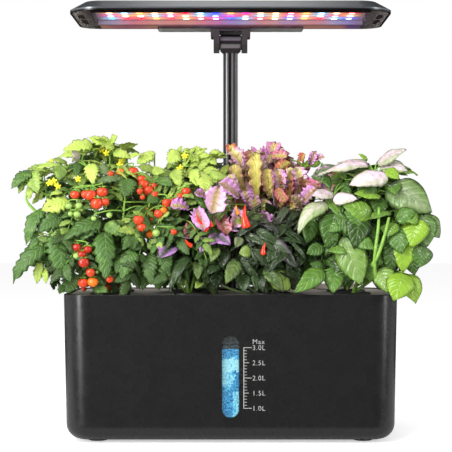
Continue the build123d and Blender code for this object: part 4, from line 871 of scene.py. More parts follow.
LETTUCE_BACK = [
    ((32, 6, 234), (40, 0, 254), 14, 72, 0.4, 0.85),
    ((35, 2, 241), (49, -4, 240), 12, 60, 0.4, 0.9),
    ((23, -18, 206), (22, -8, 245), 14, 82, 0.6, 0.25, 0.05),
    ((14, -6, 227), (0, -8, 248), 14, 66, 0.45, 0.5),
    ((18, -8, 234), (17, -12, 247), 10, 70, 0.1, 0.85),
    ((6, 14, 235), (0, 10, 253), 10, 66, 0.6, 0.8),
    ((11, -16, 207), (3, -14, 235), 14, 78, 0.5, 0.4),
    ((8, -20, 205), (-1, -20, 226), 12, 74, 0.55, 0.65),
    ((-10, -60, 214), (-16, -72, 191), 21, 72, 0.2, 1.0),
    ((6, -44, 205), (-10, -56, 217), 16, 66, 0.05, 0.8),
    ((-20, -60, 203), (-30, -68, 208), 10, 55, 0.2, 0.8),
    ((-35, -62, 195), (-50, -70, 197), 13, 55, 0.4, 0.95),
    ((-28, -64, 196), (-22, -76, 177), 15, 70, 0.0, 1.0),
    ((-12, -58, 192), (-3, -70, 173), 14, 70, 0.0, 1.0),
    ((-26, -58, 184), (-37, -68, 172), 11, 66, 0.0, 1.0),
    ((6, -56, 196), (2, -66, 180), 13, 74, 0.0, 0.9),
    ((30, -50, 190), (26, -60, 174), 14, 74, 0.0, 0.8),
    ((50, -46, 186), (47, -58, 168), 14, 72, 0.0, 0.9),
    ((21, -32, 191), (19, -34, 208), 12, 74, 0.4, 0.6),
    ((16, -32, 198), (11, -36, 211), 12, 70, 0.3, 0.85),
    ((35, -14, 206), (32, -16, 231), 14, 74, 0.6, 0.6),
    ((45, -14, 210), (40, -18, 231), 15, 72, 0.4, 0.9),
    ((52, -12, 206), (50, -16, 229), 15, 72, 0.5, 0.85),
    ((58, -12, 204), (59, -16, 227), 15, 72, 0.5, 0.75),
    ((40, -26, 214), (47, -34, 201), 10, 72, 0.2, 1.0),
    ((23, -38, 192), (38, -48, 179), 13, 64, 0.2, 0.75),
    ((55, -38, 186), (37, -50, 174), 17, 66, 0.0, 0.45),
    ((69, -10, 234), (74, -14, 246), 8, 60, 0.1, 0.8),
    ((73, -12, 237), (81, -16, 241), 7, 60, 0.1, 0.85),
    ((63, -10, 236), (65, -14, 243), 10, 60, 0.5, 1.0),
    ((62, -16, 212), (56, -20, 232), 15, 72, 0.5, 0.75),
    ((64, -18, 208), (62, -20, 224), 15, 70, 0.1, 0.7),
    ((60, -34, 194), (51, -44, 206), 13, 64, 0.25, 0.35),
    ((28, 10, 226), (20, 26, 240), 16, -30, 0.5, 0.6),
    ((40, 8, 224), (52, 24, 236), 16, -30, 0.5, 0.7),
    ((68, -20, 213), (88, -24, 229), 14, 66, 0.3, 0.75),
    ((66, -24, 208), (80, -28, 220), 13, 66, 0.0, 0.9),
    ((86, -24, 212), (96, -28, 233), 12, 70, 0.6, 0.4),
    ((62, -26, 200), (74, -30, 213), 14, 66, 0.1, 0.8),
    ((76, -26, 204), (90, -30, 218), 13, 66, 0.2, 0.6),
]
set_rows = BASIL_FRONT, BASIL_BACK, TOMATO_FRONT_1, TOMATO_FRONT_2, TOMATO_BACK_1, TOMATO_BACK_2
print("set leaves:", sum(map(len, set_rows)) + len(CHILLI_FRONT) + len(LETTUCE_BACK))

# %% [markdown]
# ## Filling the crown
#
# Between and behind the set leaves, the crown is full of younger ones. They could be scattered
# through the whole crown, but leaves grow where the light is: most sit in a shell at its outside
# and overlap like tiles. So each drawn leaf starts from a point on the crop's own solid, with a
# fixed seed, lies just inside it, faces outwards and up, and droops. Where a neighbour shades the
# side of a crop there are fewer of them; those low down are painted dark, a painted shade, and
# those high up painted light. A tomato's leaf is compound, so there each draw is a stalk with a
# leaflet at its end and pairs of leaflets along it. A second, deeper layer is painted darker, a
# painted shade: it is what one sees through the gaps of the first.

# %% Places for drawn leaves


def shaded(name, spot):
    """Whether a spot just outside a crop lies inside one of its neighbours."""
    return any(
        other != name and all(low[axis] < spot[axis] < high[axis] for axis in range(3))
        for other, (low, high) in crop_boxes.items()
    )


def shell_spots(plant, count, in_shade):
    """Seeded points on the crop's solid above its stem, each with the outward direction there."""
    solid = nodes[plant.node]
    corners = [solid.matrix_world @ vertex.co for vertex in solid.data.vertices]
    solid.data.calc_loop_triangles()
    triangles, weights = [], []
    for triangle in solid.data.loop_triangles:
        spots = [corners[number] for number in triangle.vertices]
        out = (spots[1] - spots[0]).cross(spots[2] - spots[0])
        area = out.length / 2
        if min(spot.z for spot in spots) < CANOPY_LOW - 1e-5 or area == 0 or out.z < -0.5 * out.length:
            continue
        out.normalize()
        inner = shaded(plant.node, sum(spots, Vector()) / 3 + out * 25 * MM)
        triangles.append((spots, out))
        weights.append(area * (in_shade if inner else 1.0))
    for spots, out in plant.draw.choices(triangles, weights, k=count):
        near, far = sorted((plant.draw.random(), plant.draw.random()))
        yield spots[0] * near + spots[1] * (far - near) + spots[2] * (1 - far), out


# %% Drawn leaves
LEAF_LOW = 128 * MM  # drawn leaves start above this and end at most 1 mm below it
# The deeper layer is painted darker, a painted shade.
DEEP = (13, 28)  # how far inside the basil's solid its darker layer lies, in millimetres


def compound_leaf(plant, start, end, size, face, shade):
    """A tomato leaf: leaflets in pairs along its stalk and one at its end."""
    path = smooth_path([start, (start + end) / 2 + face * 0.08 * (end - start).length, end], 4)
    plant.tube(path, 0.55 * MM, 0.3 * MM, shade + 0.2, sides=5)
    along = (end - start).normalized()
    side = along.cross(face).normalized()
    plant.blade(TOMATO, end, end + along * size, size * 0.62, face, shade)
    for place, share in ((7, 0.9), (5, 0.65), (3, 0.8), (1, 0.55)):
        for turn in (-1, 1):
            reach = side * turn + along * plant.draw.uniform(0.2, 0.8)
            reach += Vector((0, 0, plant.draw.uniform(-0.6, 0.1)))
            reach += face * plant.draw.uniform(-0.25, 0.25)
            leaflet = reach.normalized() * size * share * plant.draw.uniform(0.8, 1.15)
            tone = min(max(shade + plant.draw.uniform(-0.15, 0.15), 0), 1)
            lean = face + side * turn * plant.draw.uniform(-0.3, 0.6)
            root, width = path[place], leaflet.length * 0.6
            plant.blade(TOMATO, root, root + leaflet, width, lean.normalized(), tone)


def fill_crown(
    plant,
    kind,
    count,
    size,
    shades,
    blushes=(0.0, 0.0),
    depth=(1, 11),
    outline=None,
    side=None,
    top_share=1.0,
    in_shade=0.3,
):
    """Draw leaves just inside the crop's solid, with painted light at the top and painted shade below."""
    high = crop_boxes[plant.node][1]
    draw = plant.draw
    for spot, out in shell_spots(plant, count, in_shade):
        height = (spot.z - CANOPY_LOW) / (high.z - CANOPY_LOW)
        length = size * MM * draw.uniform(0.65, 1.25)
        around = Vector((-out.y, out.x, 0))
        if around.length < 0.3:
            angle = draw.uniform(0, 2 * math.pi)
            around = Vector((math.cos(angle), math.sin(angle), 0))
        around.normalize()
        droop = out.cross(around) if out.cross(around).z < 0 else around.cross(out)
        if kind is LETTUCE:
            along = -droop * draw.uniform(0.5, 1.0) + around * draw.uniform(-0.6, 0.6)
            along += out * draw.uniform(0.1, 0.6)
        else:
            along = droop * draw.uniform(0.1, 1.0) + around * draw.uniform(-1, 1)
            along += out * draw.uniform(0, 0.35)
        along.normalize()
        inset = draw.uniform(*depth)
        centre = spot - out * inset * MM
        centre.z = max(centre.z, CANOPY_LOW + length * 0.3)
        face = (out + Vector((0, 0, 0.35)) + around * draw.uniform(-0.5, 0.5)).normalized()
        start, end = centre - along * length / 2, centre + along * length / 2
        start.z, end.z = max(start.z, LEAF_LOW), max(end.z, LEAF_LOW - MM)
        # Painted light and shade: higher leaves are lighter, deeper ones darker; the blush, partly painted
        # pink light, grows with height.
        painted_lightness = shades[0] + (shades[1] - shades[0]) * height**1.5 - 0.02 * inset
        painted_lightness = min(max(painted_lightness + draw.uniform(-0.15, 0.15), 0), 1)
        blush = blushes[0] + (blushes[1] - blushes[0]) * height**2 * draw.random()
        top = np.interp(centre.x / MM, *zip(*outline)) * MM if outline else high.z
        reach = np.interp(centre.z / MM, *zip(*side)) * MM if side else math.inf
        farthest = max(abs(start.x), abs(end.x))
        if height > top_share or max(start.z, end.z) > top or farthest > reach:
            continue
        if kind is TOMATO:
            compound_leaf(plant, start, centre + along * length * 0.2, length * 0.42, face, painted_lightness)
        else:
            width = length * kind["spread"] * draw.uniform(0.8, 1.25)
            plant.blade(kind, start, end, width, face, painted_lightness, blush, 0.12)
        plant.stalk(start)


# %% Outlines of the crops
# How high the crops reach, as (place across, height), and how far from the middle the outer ones
# reach, as (height, reach).
BACK_TOMATO_TOP = ((-150, 236), (-132, 243), (-122, 257), (-97, 256), (-90, 247), (-70, 243))
BACK_TOMATO_TOP += ((-52, 249), (-25, 247), (-2, 244))
LETTUCE_TOP = ((-2, 250), (10, 250), (25, 246), (41, 254), (50, 242), (62, 244), (78, 246), (86, 239))
BASIL_TOP = ((60, 234), (100, 238), (140, 238), (160, 226), (176, 200))
BASIL_SIDE = ((126, 143), (146, 148), (160, 157), (170, 171), (190, 172), (196, 162), (232, 166))
TOMATO_SIDE = ((126, 140), (144, 142), (150, 166), (172, 172), (178, 156), (206, 158), (212, 176), (230, 172))
print("highest back tomato leaf:", max(height for place, height in BACK_TOMATO_TOP), "mm")
BASIL_EDGES = {"outline": BASIL_TOP, "side": BASIL_SIDE}
TOMATO_EDGES = {"outline": BACK_TOMATO_TOP, "side": TOMATO_SIDE}

# %% Grow the basil
basil_front = Plant("basil_front_plant", 11, "basil_front_4")
basil_front.branch([(102, -45, 112), (110, -52, 150), (117, -52, 190), (123, -46, 232)])
basil_front.branch([(103, -46, 122), (110, -60, 150), (100, -62, 175), (86, -62, 206)], 1.3, 0.6)
basil_front.branch([(104, -46, 124), (128, -54, 144), (138, -52, 170), (142, -50, 196)], 1.4, 0.6)
basil_front.branch([(106, -47, 130), (140, -50, 148), (156, -46, 166), (159, -44, 189)], 1.2, 0.6)
for places in (
    ((120, 138), (119, 156), (122, 180), (123, 196)),
    ((117, 148), (122, 158), (128, 176), (131, 188)),
):
    knots = [Vector((across, -45, height)) * MM for across, height in places]
    for knot in knots:
        knot.y = front_of("basil_front_4", knot) - 3 * MM
    basil_front.tube(smooth_path(knots, 5), 1.6 * MM, 1.1 * MM, 0.9)
for row in BASIL_FRONT:
    basil_front.leaf(BASIL, *row)
fill_crown(basil_front, BASIL, 75, 25, (0.1, 0.45), **BASIL_EDGES)
fill_crown(basil_front, BASIL, 70, 28, (0.0, 0.15), depth=DEEP, in_shade=1.0, **BASIL_EDGES)
basil_front.finish("basil_plant", [basil_leaf, green_stem])

basil_back = Plant("basil_back_plant", 12, "basil_back_4")
basil_back.branch([(102, 11, 112), (104, 8, 160), (110, -4, 205), (116, -16, 236)])
basil_back.branch([(102, 11, 124), (122, 14, 160), (134, 10, 200), (128, 6, 225)], 1.3, 0.6)
basil_back.branch([(102, 11, 124), (90, 8, 160), (82, -2, 205), (80, -8, 236)], 1.3, 0.6)
for row in BASIL_BACK:
    basil_back.leaf(BASIL, *row)
fill_crown(basil_back, BASIL, 105, 27, (0.1, 0.6), (0.0, 0.2), **BASIL_EDGES)
fill_crown(basil_back, BASIL, 70, 28, (0.0, 0.15), depth=DEEP, in_shade=1.0, **BASIL_EDGES)
basil_back.finish("basil_plant", [basil_leaf, green_stem])

# %% Grow the tomatoes
tomato_front_1 = Plant("tomato_front_plant_1", 21, "tomato_front_1")
tomato_front_1.branch([(-102, -45, 112), (-108, -50, 150), (-112, -52, 190), (-120, -46, 236)])
tomato_front_1.branch([(-103, -46, 122), (-130, -54, 145), (-150, -54, 178), (-158, -48, 226)], 1.4, 0.6)
tomato_front_1.branch([(-101, -46, 122), (-92, -60, 150), (-90, -60, 186), (-88, -48, 224)], 1.4, 0.6)
lime_stem = [(-157, -52, 186), (-163, -54, 192), (-172, -54, 203), (-169, -52, 214)]
tomato_front_1.tube(smooth_path([Vector(knot) * MM for knot in lime_stem], 5), 1.9 * MM, 0.8 * MM, 0.9)
for row in TOMATO_FRONT_1:
    tomato_front_1.leaf(TOMATO, *row)
fill_crown(tomato_front_1, TOMATO, 34, 38, (0.1, 0.8), side=TOMATO_SIDE)
fill_crown(tomato_front_1, TOMATO, 34, 44, (0.0, 0.2), depth=(12, 30), side=TOMATO_SIDE, in_shade=1.0)
tomato_front_1.finish("tomato_plant", [tomato_leaf, green_stem])

tomato_front_2 = Plant("tomato_front_plant_2", 22, "tomato_front_2")
tomato_front_2.branch([(-34, -45, 112), (-40, -48, 150), (-50, -46, 190), (-46, -38, 228)])
tomato_front_2.branch([(-35, -46, 122), (-60, -54, 150), (-70, -56, 186), (-62, -44, 222)], 1.3, 0.6)
tomato_front_2.branch([(-34, -45, 124), (-26, -44, 160), (-22, -36, 200), (-22, -34, 226)], 1.3, 0.6)
for row in TOMATO_FRONT_2:
    tomato_front_2.leaf(TOMATO, *row)
fill_crown(tomato_front_2, TOMATO, 28, 36, (0.1, 0.8))
fill_crown(tomato_front_2, TOMATO, 30, 42, (0.0, 0.1), depth=(12, 30), in_shade=1.0)
tomato_front_2.finish("tomato_plant", [tomato_leaf, green_stem])

tomato_back_1 = Plant("tomato_back_plant_1", 23, "tomato_back_1")
tomato_back_1.branch([(-102, 11, 112), (-104, 6, 160), (-106, -6, 210), (-104, -16, 250)])
tomato_back_1.branch([(-102, 11, 124), (-124, 8, 165), (-134, -4, 210), (-126, -18, 250)], 1.4, 0.6)
tomato_back_1.branch([(-102, 11, 124), (-92, 8, 165), (-88, 0, 205), (-90, -12, 240)], 1.4, 0.6)
for row in TOMATO_BACK_1:
    tomato_back_1.leaf(TOMATO, *row)
fill_crown(tomato_back_1, TOMATO, 50, 40, (0.4, 1.1), **TOMATO_EDGES)
fill_crown(tomato_back_1, TOMATO, 24, 44, (0.15, 0.7), depth=(14, 34), **TOMATO_EDGES)
tomato_back_1.finish("tomato_plant", [tomato_leaf, green_stem])

tomato_back_2 = Plant("tomato_back_plant_2", 24, "tomato_back_2")
tomato_back_2.branch([(-34, 11, 112), (-36, 8, 160), (-42, 0, 205), (-44, -4, 244)])
tomato_back_2.branch([(-34, 11, 124), (-56, 6, 165), (-66, -4, 205), (-66, -10, 242)], 1.3, 0.6)
tomato_back_2.branch([(-34, 11, 124), (-24, 8, 165), (-20, 2, 205), (-18, 0, 240)], 1.3, 0.6)
for row in TOMATO_BACK_2:
    tomato_back_2.leaf(TOMATO, *row)
fill_crown(tomato_back_2, TOMATO, 42, 38, (0.4, 1.1), outline=BACK_TOMATO_TOP)
fill_crown(tomato_back_2, TOMATO, 24, 42, (0.15, 0.7), depth=(14, 34), outline=BACK_TOMATO_TOP)
tomato_back_2.finish("tomato_plant", [tomato_leaf, green_stem])

# %% Grow the chilli and the lettuce
chilli = Plant("chilli_plant", 31, "chilli_front_3")
chilli.branch([(34, -45, 112), (26, -50, 140), (12, -56, 160), (10, -60, 182)], 1.8, 0.7, 0.2)
chilli.branch([(33, -45, 118), (12, -54, 132), (-12, -58, 152), (-18, -60, 178)], 1.5, 0.6, 0.2)
chilli.branch([(33, -45, 120), (0, -56, 128), (-28, -58, 144), (-44, -60, 162)], 1.3, 0.5, 0.2)
chilli.branch([(35, -46, 120), (38, -54, 140), (36, -58, 160), (32, -60, 172)], 1.3, 0.5, 0.2)
for row in CHILLI_FRONT:
    chilli.leaf(CHILLI, *row)
fill_crown(chilli, CHILLI, 170, 25, (0.05, 0.45), (0.0, 0.2), top_share=0.72)
fill_crown(chilli, CHILLI, 70, 28, (0.0, 0.1), depth=(12, 26), top_share=0.75, in_shade=1.0)
chilli.finish("chilli_plant", [chilli_leaf, dusky_stem])

lettuce = Plant("lettuce_plant", 41, "lettuce_back_3")
lettuce.branch([(34, 11, 112), (30, 4, 150), (26, -8, 190), (24, -4, 228)], 2.4, 1.2, 0.8)
lettuce.branch([(34, 11, 124), (46, 2, 160), (54, -8, 195), (62, -8, 234)], 1.8, 0.8, 0.8)
lettuce.branch([(34, 11, 124), (10, -10, 160), (-6, -28, 190), (-10, -34, 212)], 1.8, 0.8, 0.8)
for row in LETTUCE_BACK:
    lettuce.leaf(LETTUCE, *row)
fill_crown(lettuce, LETTUCE, 190, 23, (0.3, 0.9), (0.5, 1.2), outline=LETTUCE_TOP, in_shade=0.8)
fill_crown(lettuce, LETTUCE, 60, 28, (0.1, 0.3), (0.3, 0.6), (12, 26), LETTUCE_TOP, in_shade=1.0)
lettuce.finish("lettuce_plant", [lettuce_leaf, green_stem])

# %% [markdown]
# ## Fruit and flowers
#
# A cherry tomato is a slightly flat ball with a dimple where its calyx sits. It could be a plain
# sphere, but the dimple and the five sepals are what tells it from a bead. Its skin is the shiniest
# thing on the plant. The tomatoes hang in trusses, so each row of fruit below is one truss, whose
# stem falls from the nearest branch past its fruits. The pods of the chilli stand upright.

# %% Fruit skins
tomato_red = start_material("ripe_tomato_skin", "#c84326", 0.18, IOR=1.5)
tomato_orange = start_material("turning_tomato_skin", "#e67424", 0.22, IOR=1.5)
tomato_green = start_material("unripe_tomato_skin", "#94b45c", 0.28, IOR=1.5)
tomato_dark = start_material("shaded_tomato_skin", "#a82c1c", 0.25, IOR=1.5)
pod_red = start_material("ripe_chilli_skin", "#e8361c", 0.16, IOR=1.5)
pod_orange = start_material("turning_chilli_skin", "#f0832a", 0.18, IOR=1.5)
petal_yellow = start_material("yellow_petal", "#fbf03c", 0.6, IOR=1.4)
TRUSS_FINISHES = [petal_yellow, green_stem, tomato_red, tomato_orange, tomato_green, tomato_dark]
RED, ORANGE, GREEN, DARK = 2, 3, 4, 5
PLUMP = 1.14
SEPAL = ((0, 0), (0.5, 0.22), (0.9, 0.3))  # each bend's reach and rise, as shares of the radius
PETAL = PLAIN | {"rows": 4, "columns": 2, "widest": 0.45, "full": 0.6, "fold": 0.0, "curl": 0.2}
PETAL |= {"ruffle": 0.0, "waves": 1.0}
print("finishes of a truss:", [finish.name for finish in TRUSS_FINISHES])

# %% One fruit, one truss, one flower


def ball(plant, centre, radius, slot, rings=8, around=12):
    """Add a tomato: a slightly flat ball with a dimple on top, and its calyx."""
    points = []
    for ring in range(rings + 1):
        polar = math.pi * ring / rings
        dimple = 0.22 * math.exp(-((polar / 0.45) ** 2))
        up, out = (0.93 * math.cos(polar) - dimple) * radius, math.sin(polar) * radius
        for turn in range(1 if ring in (0, rings) else around):
            angle = 2 * math.pi * turn / around
            points.append(centre + Vector((out * math.cos(angle), out * math.sin(angle), up)))
    last = len(points) - 1
    faces = []
    for turn in range(around):
        after = (turn + 1) % around
        faces.append((0, 1 + turn, 1 + after))
        faces.append((last, last - around + after, last - around + turn))
        for first in range(1, 1 + (rings - 2) * around, around):
            faces.append((first + turn, first + around + turn, first + around + after, first + after))
    plant.add(points, faces, slot, [(0.5, 0.5, 0.5)] * len(points), (0.5, 0.0, 0.0))
    top = centre + Vector((0, 0, 0.72 * radius))
    for turn in range(5):
        angle = 2 * math.pi * (turn + 0.3) / 5
        sepal = [(share * math.cos(angle), share * math.sin(angle), rise) for share, rise in SEPAL]
        path = [top + Vector(bend) * radius for bend in sepal]
        plant.tube(path, 0.14 * radius, 0.04 * radius, 0.4, sides=3)
    return top


def truss(plant, fruits):
    """Add one truss. Each fruit is a row: place across, height, radius, skin."""
    knots = []
    for across, height, radius, slot in sorted(fruits, key=lambda row: -row[1]):
        radius *= PLUMP
        centre = Vector((across, -45, height)) * MM
        centre.y = front_of(plant.node, centre) - 0.75 * radius * MM
        top = ball(plant, centre, radius * MM, slot)
        joint = centre + Vector((0, 0.6, 1.5)) * radius * MM
        middle = (top + joint) / 2 + Vector((0, 0, 0.5 * MM))
        plant.tube([top, middle, joint], 0.35 * MM, 0.35 * MM, 0.6, sides=5)
        knots.append(joint)
    first = knots[0]
    root = min(plant.branches, key=lambda spot: (spot - first).length + 0.5 * abs(first.z - spot.z))
    plant.tube(smooth_path([root] + knots, 4), 0.7 * MM, 0.4 * MM, 0.55, sides=5)


def flower(plant, across, height):
    """Add a yellow tomato flower: five bent-back petals round a cone, on a short stalk."""
    centre = Vector((across, -30, height)) * MM
    centre.y = min(front_of(plant.node, centre), -8 * MM) - 3 * MM
    nod = Vector((plant.draw.uniform(-0.5, 0.5), -1, -0.3)).normalized()
    side = nod.cross(Vector((0, 0, 1))).normalized()
    up = side.cross(nod)
    for turn in range(5):
        angle = 2 * math.pi * (turn + plant.draw.random() * 0.3) / 5
        out = (side * math.cos(angle) + up * math.sin(angle)) * 3.4 * MM
        plant.blade(PETAL, centre, centre + out - nod * 0.8 * MM, 1.9 * MM, nod, 0.5)
    cone = [centre + nod * ahead * MM for ahead in (0, 1.2, 2.4)]
    plant.tube(cone, 0.6 * MM, 0.2 * MM, 0.5, slot=0, sides=5)
    root = min(plant.branches, key=lambda spot: (spot - centre).length)
    middle = (root + centre) / 2 + Vector((0, 0, 2 * MM))
    plant.tube(smooth_path([root, middle, centre], 4), 0.4 * MM, 0.3 * MM, 0.7, sides=5)


# %% Trusses of the two tomatoes in front
fruit_1 = Plant("tomato_trusses_1", 51, "tomato_front_1")
fruit_1.branches = tomato_front_1.branches
for fruits in (
    [
        (-129.8, 207, 3.6, RED),
        (-120.9, 207.4, 3.6, RED),
        (-116.7, 206.8, 4.6, RED),
        (-107.2, 209.3, 4.3, RED),
        (-111.2, 199.6, 4.7, RED),
        (-104.6, 201.1, 3.3, RED),
    ],
    [
        (-126.1, 197.7, 2.8, GREEN),
        (-127.4, 190.6, 2.7, GREEN),
        (-132.8, 191, 2.1, GREEN),
        (-134.5, 197.5, 2.6, GREEN),
    ],
    [(-113.5, 187.2, 2.1, GREEN), (-100.7, 189.9, 2.3, GREEN)],
    [(-82.5, 227.1, 4.1, RED), (-101, 225, 2.6, RED), (-93.1, 226.9, 2.8, ORANGE)],
    [
        (-75.4, 220.7, 3.3, RED),
        (-73.5, 216, 4.3, RED),
        (-76.3, 210.3, 2.6, RED),
        (-69.3, 210.8, 4.5, RED),
        (-74, 205.1, 2.1, RED),
    ],
    [(-76.5, 186.1, 4, RED), (-74, 179.9, 3.6, RED), (-69.3, 193.2, 4.3, RED)],
    [
        (-126.9, 163.3, 3.3, DARK),
        (-122.8, 157.4, 3.3, DARK),
        (-117.9, 161.6, 3.1, DARK),
        (-120.9, 150.8, 4, DARK),
        (-127.1, 156.2, 2.7, GREEN),
    ],
    [
        (-115.6, 142.6, 3.6, RED),
        (-122.2, 133.9, 4, RED),
        (-114.1, 134.6, 4, ORANGE),
        (-124.1, 127.5, 2.1, RED),
        (-110.5, 142.9, 1.4, GREEN),
    ],
    [
        (-102.9, 130.9, 4.3, RED),
        (-100.1, 136.7, 2.8, RED),
        (-95.8, 130.9, 2.8, RED),
        (-85.8, 128, 1.7, GREEN),
    ],
):
    truss(fruit_1, fruits)
for across, height in (
    (-148.5, 218.4),
    (-144.7, 214.1),
    (-151.8, 216.9),
    (-128.3, 220.2),
    (-93.9, 232.6),
    (-153.7, 235.9),
):
    flower(fruit_1, across, height)
fruit_1.finish("tomato_plant", TRUSS_FINISHES, stands_for_node=False)

fruit_2 = Plant("tomato_trusses_2", 52, "tomato_front_2")
fruit_2.branches = tomato_front_2.branches
for fruits in (
    [(-63.6, 207.4, 3, RED), (-64.6, 215, 2.6, RED)],
    [(-67.4, 184.2, 4.3, RED), (-67.2, 174.7, 3.8, ORANGE), (-66.8, 164.3, 3.2, GREEN)],
    [(-53.2, 200.3, 3.6, RED), (-59.8, 191.3, 3.6, RED), (-55.5, 194.2, 2.7, ORANGE)],
    [(-46.5, 201.3, 3.3, RED), (-41.8, 206, 2.8, RED), (-37, 209.8, 3.6, RED)],
    [(-47, 176.1, 2.4, RED), (-61.7, 175.2, 3, GREEN)],
):
    truss(fruit_2, fruits)
for across, height in ((-42.7, 230.2), (-61.5, 229)):
    flower(fruit_2, across, height)
fruit_2.finish("tomato_plant", TRUSS_FINISHES, stands_for_node=False)

top_flowers = Plant("tomato_flowers", 53, "tomato_back_1")
top_flowers.branches = tomato_back_1.branches + tomato_back_2.branches
for across, height in ((-111.9, 246.8), (-107.6, 244), (-106.7, 248.2), (-93.9, 237.8), (-38.9, 241.1)):
    flower(top_flowers, across, height)
top_flowers.finish("tomato_plant", TRUSS_FINISHES, stands_for_node=False)

# %% Pods of the chilli
# Each row: base, tip (place across and height), radius, skin, in millimetres.
pods = Plant("chilli_pods", 61, "chilli_front_3")
pods.branches = chilli.branches
for base, tip, radius, slot in (
    ((-19, 177.5), (-28.7, 191), 2.3, RED),
    ((13.3, 179.9), (12.3, 198.2), 3.4, RED),
    ((27, 157.6), (28.9, 167.1), 2.0, RED),
    ((-32.3, 164.3), (-37.5, 169.9), 1.7, RED),
    ((-16.2, 181), (-15.4, 185), 2.0, RED),
    ((6.6, 190.8), (4.7, 198.4), 1.3, ORANGE),
):
    bottom = Vector((base[0], -60, base[1])) * MM
    top = Vector((tip[0], -60, tip[1])) * MM
    bottom.y = min(front_of("chilli_front_3", bottom) - radius * MM, -75 * MM)
    top.y = bottom.y - 1.5 * MM
    bulge = (bottom + top) / 2 + (top - bottom).cross(Vector((0, 1, 0))) * 0.08
    path = smooth_path([bottom, bulge, top], 5)
    pods.tube(path, 1.2 * radius * MM, 0.25 * MM, 0.5, slot=slot, sides=9)
    cap = [bottom - Vector((0, 0, 1.4 * MM)), bottom, bottom + (top - bottom) * 0.06]
    pods.tube(cap, 0.8 * MM, 0.9 * radius * MM, 0.5, sides=7)
    pods.stalk(bottom - Vector((0, 0, 1 * MM)), 0.8)
pod_finishes = [petal_yellow, dusky_stem, pod_red, pod_orange]
pods.finish("chilli_plant", pod_finishes, stands_for_node=False)

# %% [markdown]
# ## Lights of the grow lamp
#
# A grow lamp mixes warm white, cool white, red, blue and magenta packages. Each is a small square
# white body with a clear dome over a glowing die. The dome could be real clear resin, but that is
# slow and noisy to render, so the dome itself glows: its crown almost white, its foot in the full
# colour. Real packages are far brighter than any screen, so their strength is given below. The
# light that they spill on the board is painted light: a soft halo worked out round each, which the
# board glows with.

# %% Dome lights
LED_COLOURS = {
    "W": ("warm_white", "#ffb45a", "#fff4e4"),
    "C": ("cool_white", "#6cc8ff", "#f0fbff"),
    "R": ("deep_red", "#ff1838", "#ffb0b4"),
    "B": ("royal_blue", "#2f52ff", "#b4d2ff"),
    "M": ("magenta", "#ff2fb0", "#ffe0f8"),
}
LED_ROWS = ("WRCWWBRWCWRWWBCRW", "WCWWWRCBWMWWRWCWR", "MWWCMWCBMRCWMWCRW", "CRRWRWRMBCRWBWRCB")
LED_BODY, LED_BODY_HEIGHT, DOME_RADIUS, DOME_HEIGHT = 6.6 * MM, 0.4 * MM, 3.2 * MM, 0.8 * MM
CHIP = 3.4 * MM
BRIGHT_SHARE = 0.6
package_white = start_material("white_led_package", "#d8d4d2", 0.4, IOR=1.5)
glows = []
for title, foot, crown in LED_COLOURS.values():
    for part, colour, strength in (("foot", foot, 2.5), ("crown", crown, 4.0), ("dim_crown", foot, 1.4)):
        light = {"Emission_Color": linear(colour), "Emission_Strength": strength}
        glows.append(start_material(f"{title}_dome_{part}", colour, 0.3, **light))


def ring_of(centre, radius, height, count):
    """Points round a vertical axis, below the centre by the height."""
    turns = [2 * math.pi * n / count for n in range(count)]
    x, y, z = centre
    return [(x + radius * math.cos(turn), y + radius * math.sin(turn), z - height) for turn in turns]


def add_rings(piece, rings, slot_of_band):
    """Add a closed turned shape, from its rings of points, top to bottom, to a piece."""
    points, faces, slots = piece
    count, first = len(rings[0]), len(points)
    points.extend(spot for ring in rings for spot in ring)
    faces.append(tuple(range(first, first + count)))
    slots.append(slot_of_band[0])
    for band in range(len(rings) - 1):
        for n in range(count):
            a, b = first + band * count + n, first + band * count + (n + 1) % count
            faces.append((a, a + count, b + count, b))
            slots.append(slot_of_band[band])
    faces.append(tuple(reversed(range(first + (len(rings) - 1) * count, first + len(rings) * count))))
    slots.append(slot_of_band[-1])


chips_low, chips_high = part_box("led_chips")
packages = [], [], []
package_spots = []
brightness = random.Random(71)
for row, colours in enumerate(LED_ROWS):
    for column, colour in enumerate(colours):
        steps = column / (len(colours) - 1), row / (len(LED_ROWS) - 1)
        x, y = (chips_low[n] + CHIP / 2 + steps[n] * (chips_high[n] - chips_low[n] - CHIP) for n in (0, 1))
        centre = (x, y, chips_high[2])
        package_spots.append((x, y))
        body = [ring_of(centre, LED_BODY / 2, height, 8) for height in (0, LED_BODY_HEIGHT)]
        add_rings(packages, body, [0])
        number = 1 + 3 * list(LED_COLOURS).index(colour)
        crown = number + (1 if brightness.random() < BRIGHT_SHARE else 2)
        dome = []
        for turn in map(math.radians, (0, 25, 50, 75)):
            drop = LED_BODY_HEIGHT + DOME_HEIGHT * math.sin(turn)
            dome.append(ring_of(centre, DOME_RADIUS * math.cos(turn), drop, 10))
        add_rings(packages, dome, [number, crown, crown])
led_packages = add_mesh("led_packages", *packages[:2], package_white, *glows)
led_packages.data.polygons.foreach_set("material_index", packages[2])
led_packages.data.polygons.foreach_set("use_smooth", [True] * len(packages[1]))
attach(led_packages, "lamp")
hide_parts("led_chips")
print("packages:", sum(map(len, LED_ROWS)))

# %% Painted halos of light on the board and on the wall behind it
# Painted shade and painted light: the board is painted darker mauve than its white mask, and it glows with a
# painted halo round each diode; a sheet on the wall behind the recess, which is no lamp, glows the same way.
painted_glow_mask = start_material("painted_glow_solder_mask", "#8a7480", 0.35, IOR=1.5, Emission_Strength=0.9)
two_tone(painted_glow_mask, place_noise(painted_glow_mask, 5.0), "#6d5f66", "#8a7480")
carry(painted_glow_mask, add_node(painted_glow_mask, "Attribute", attribute_name="halo"), "Emission Color")
board_low, board_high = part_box("led_board")
HALO_STEP, SHEET = 1.6 * MM, 0.05 * MM


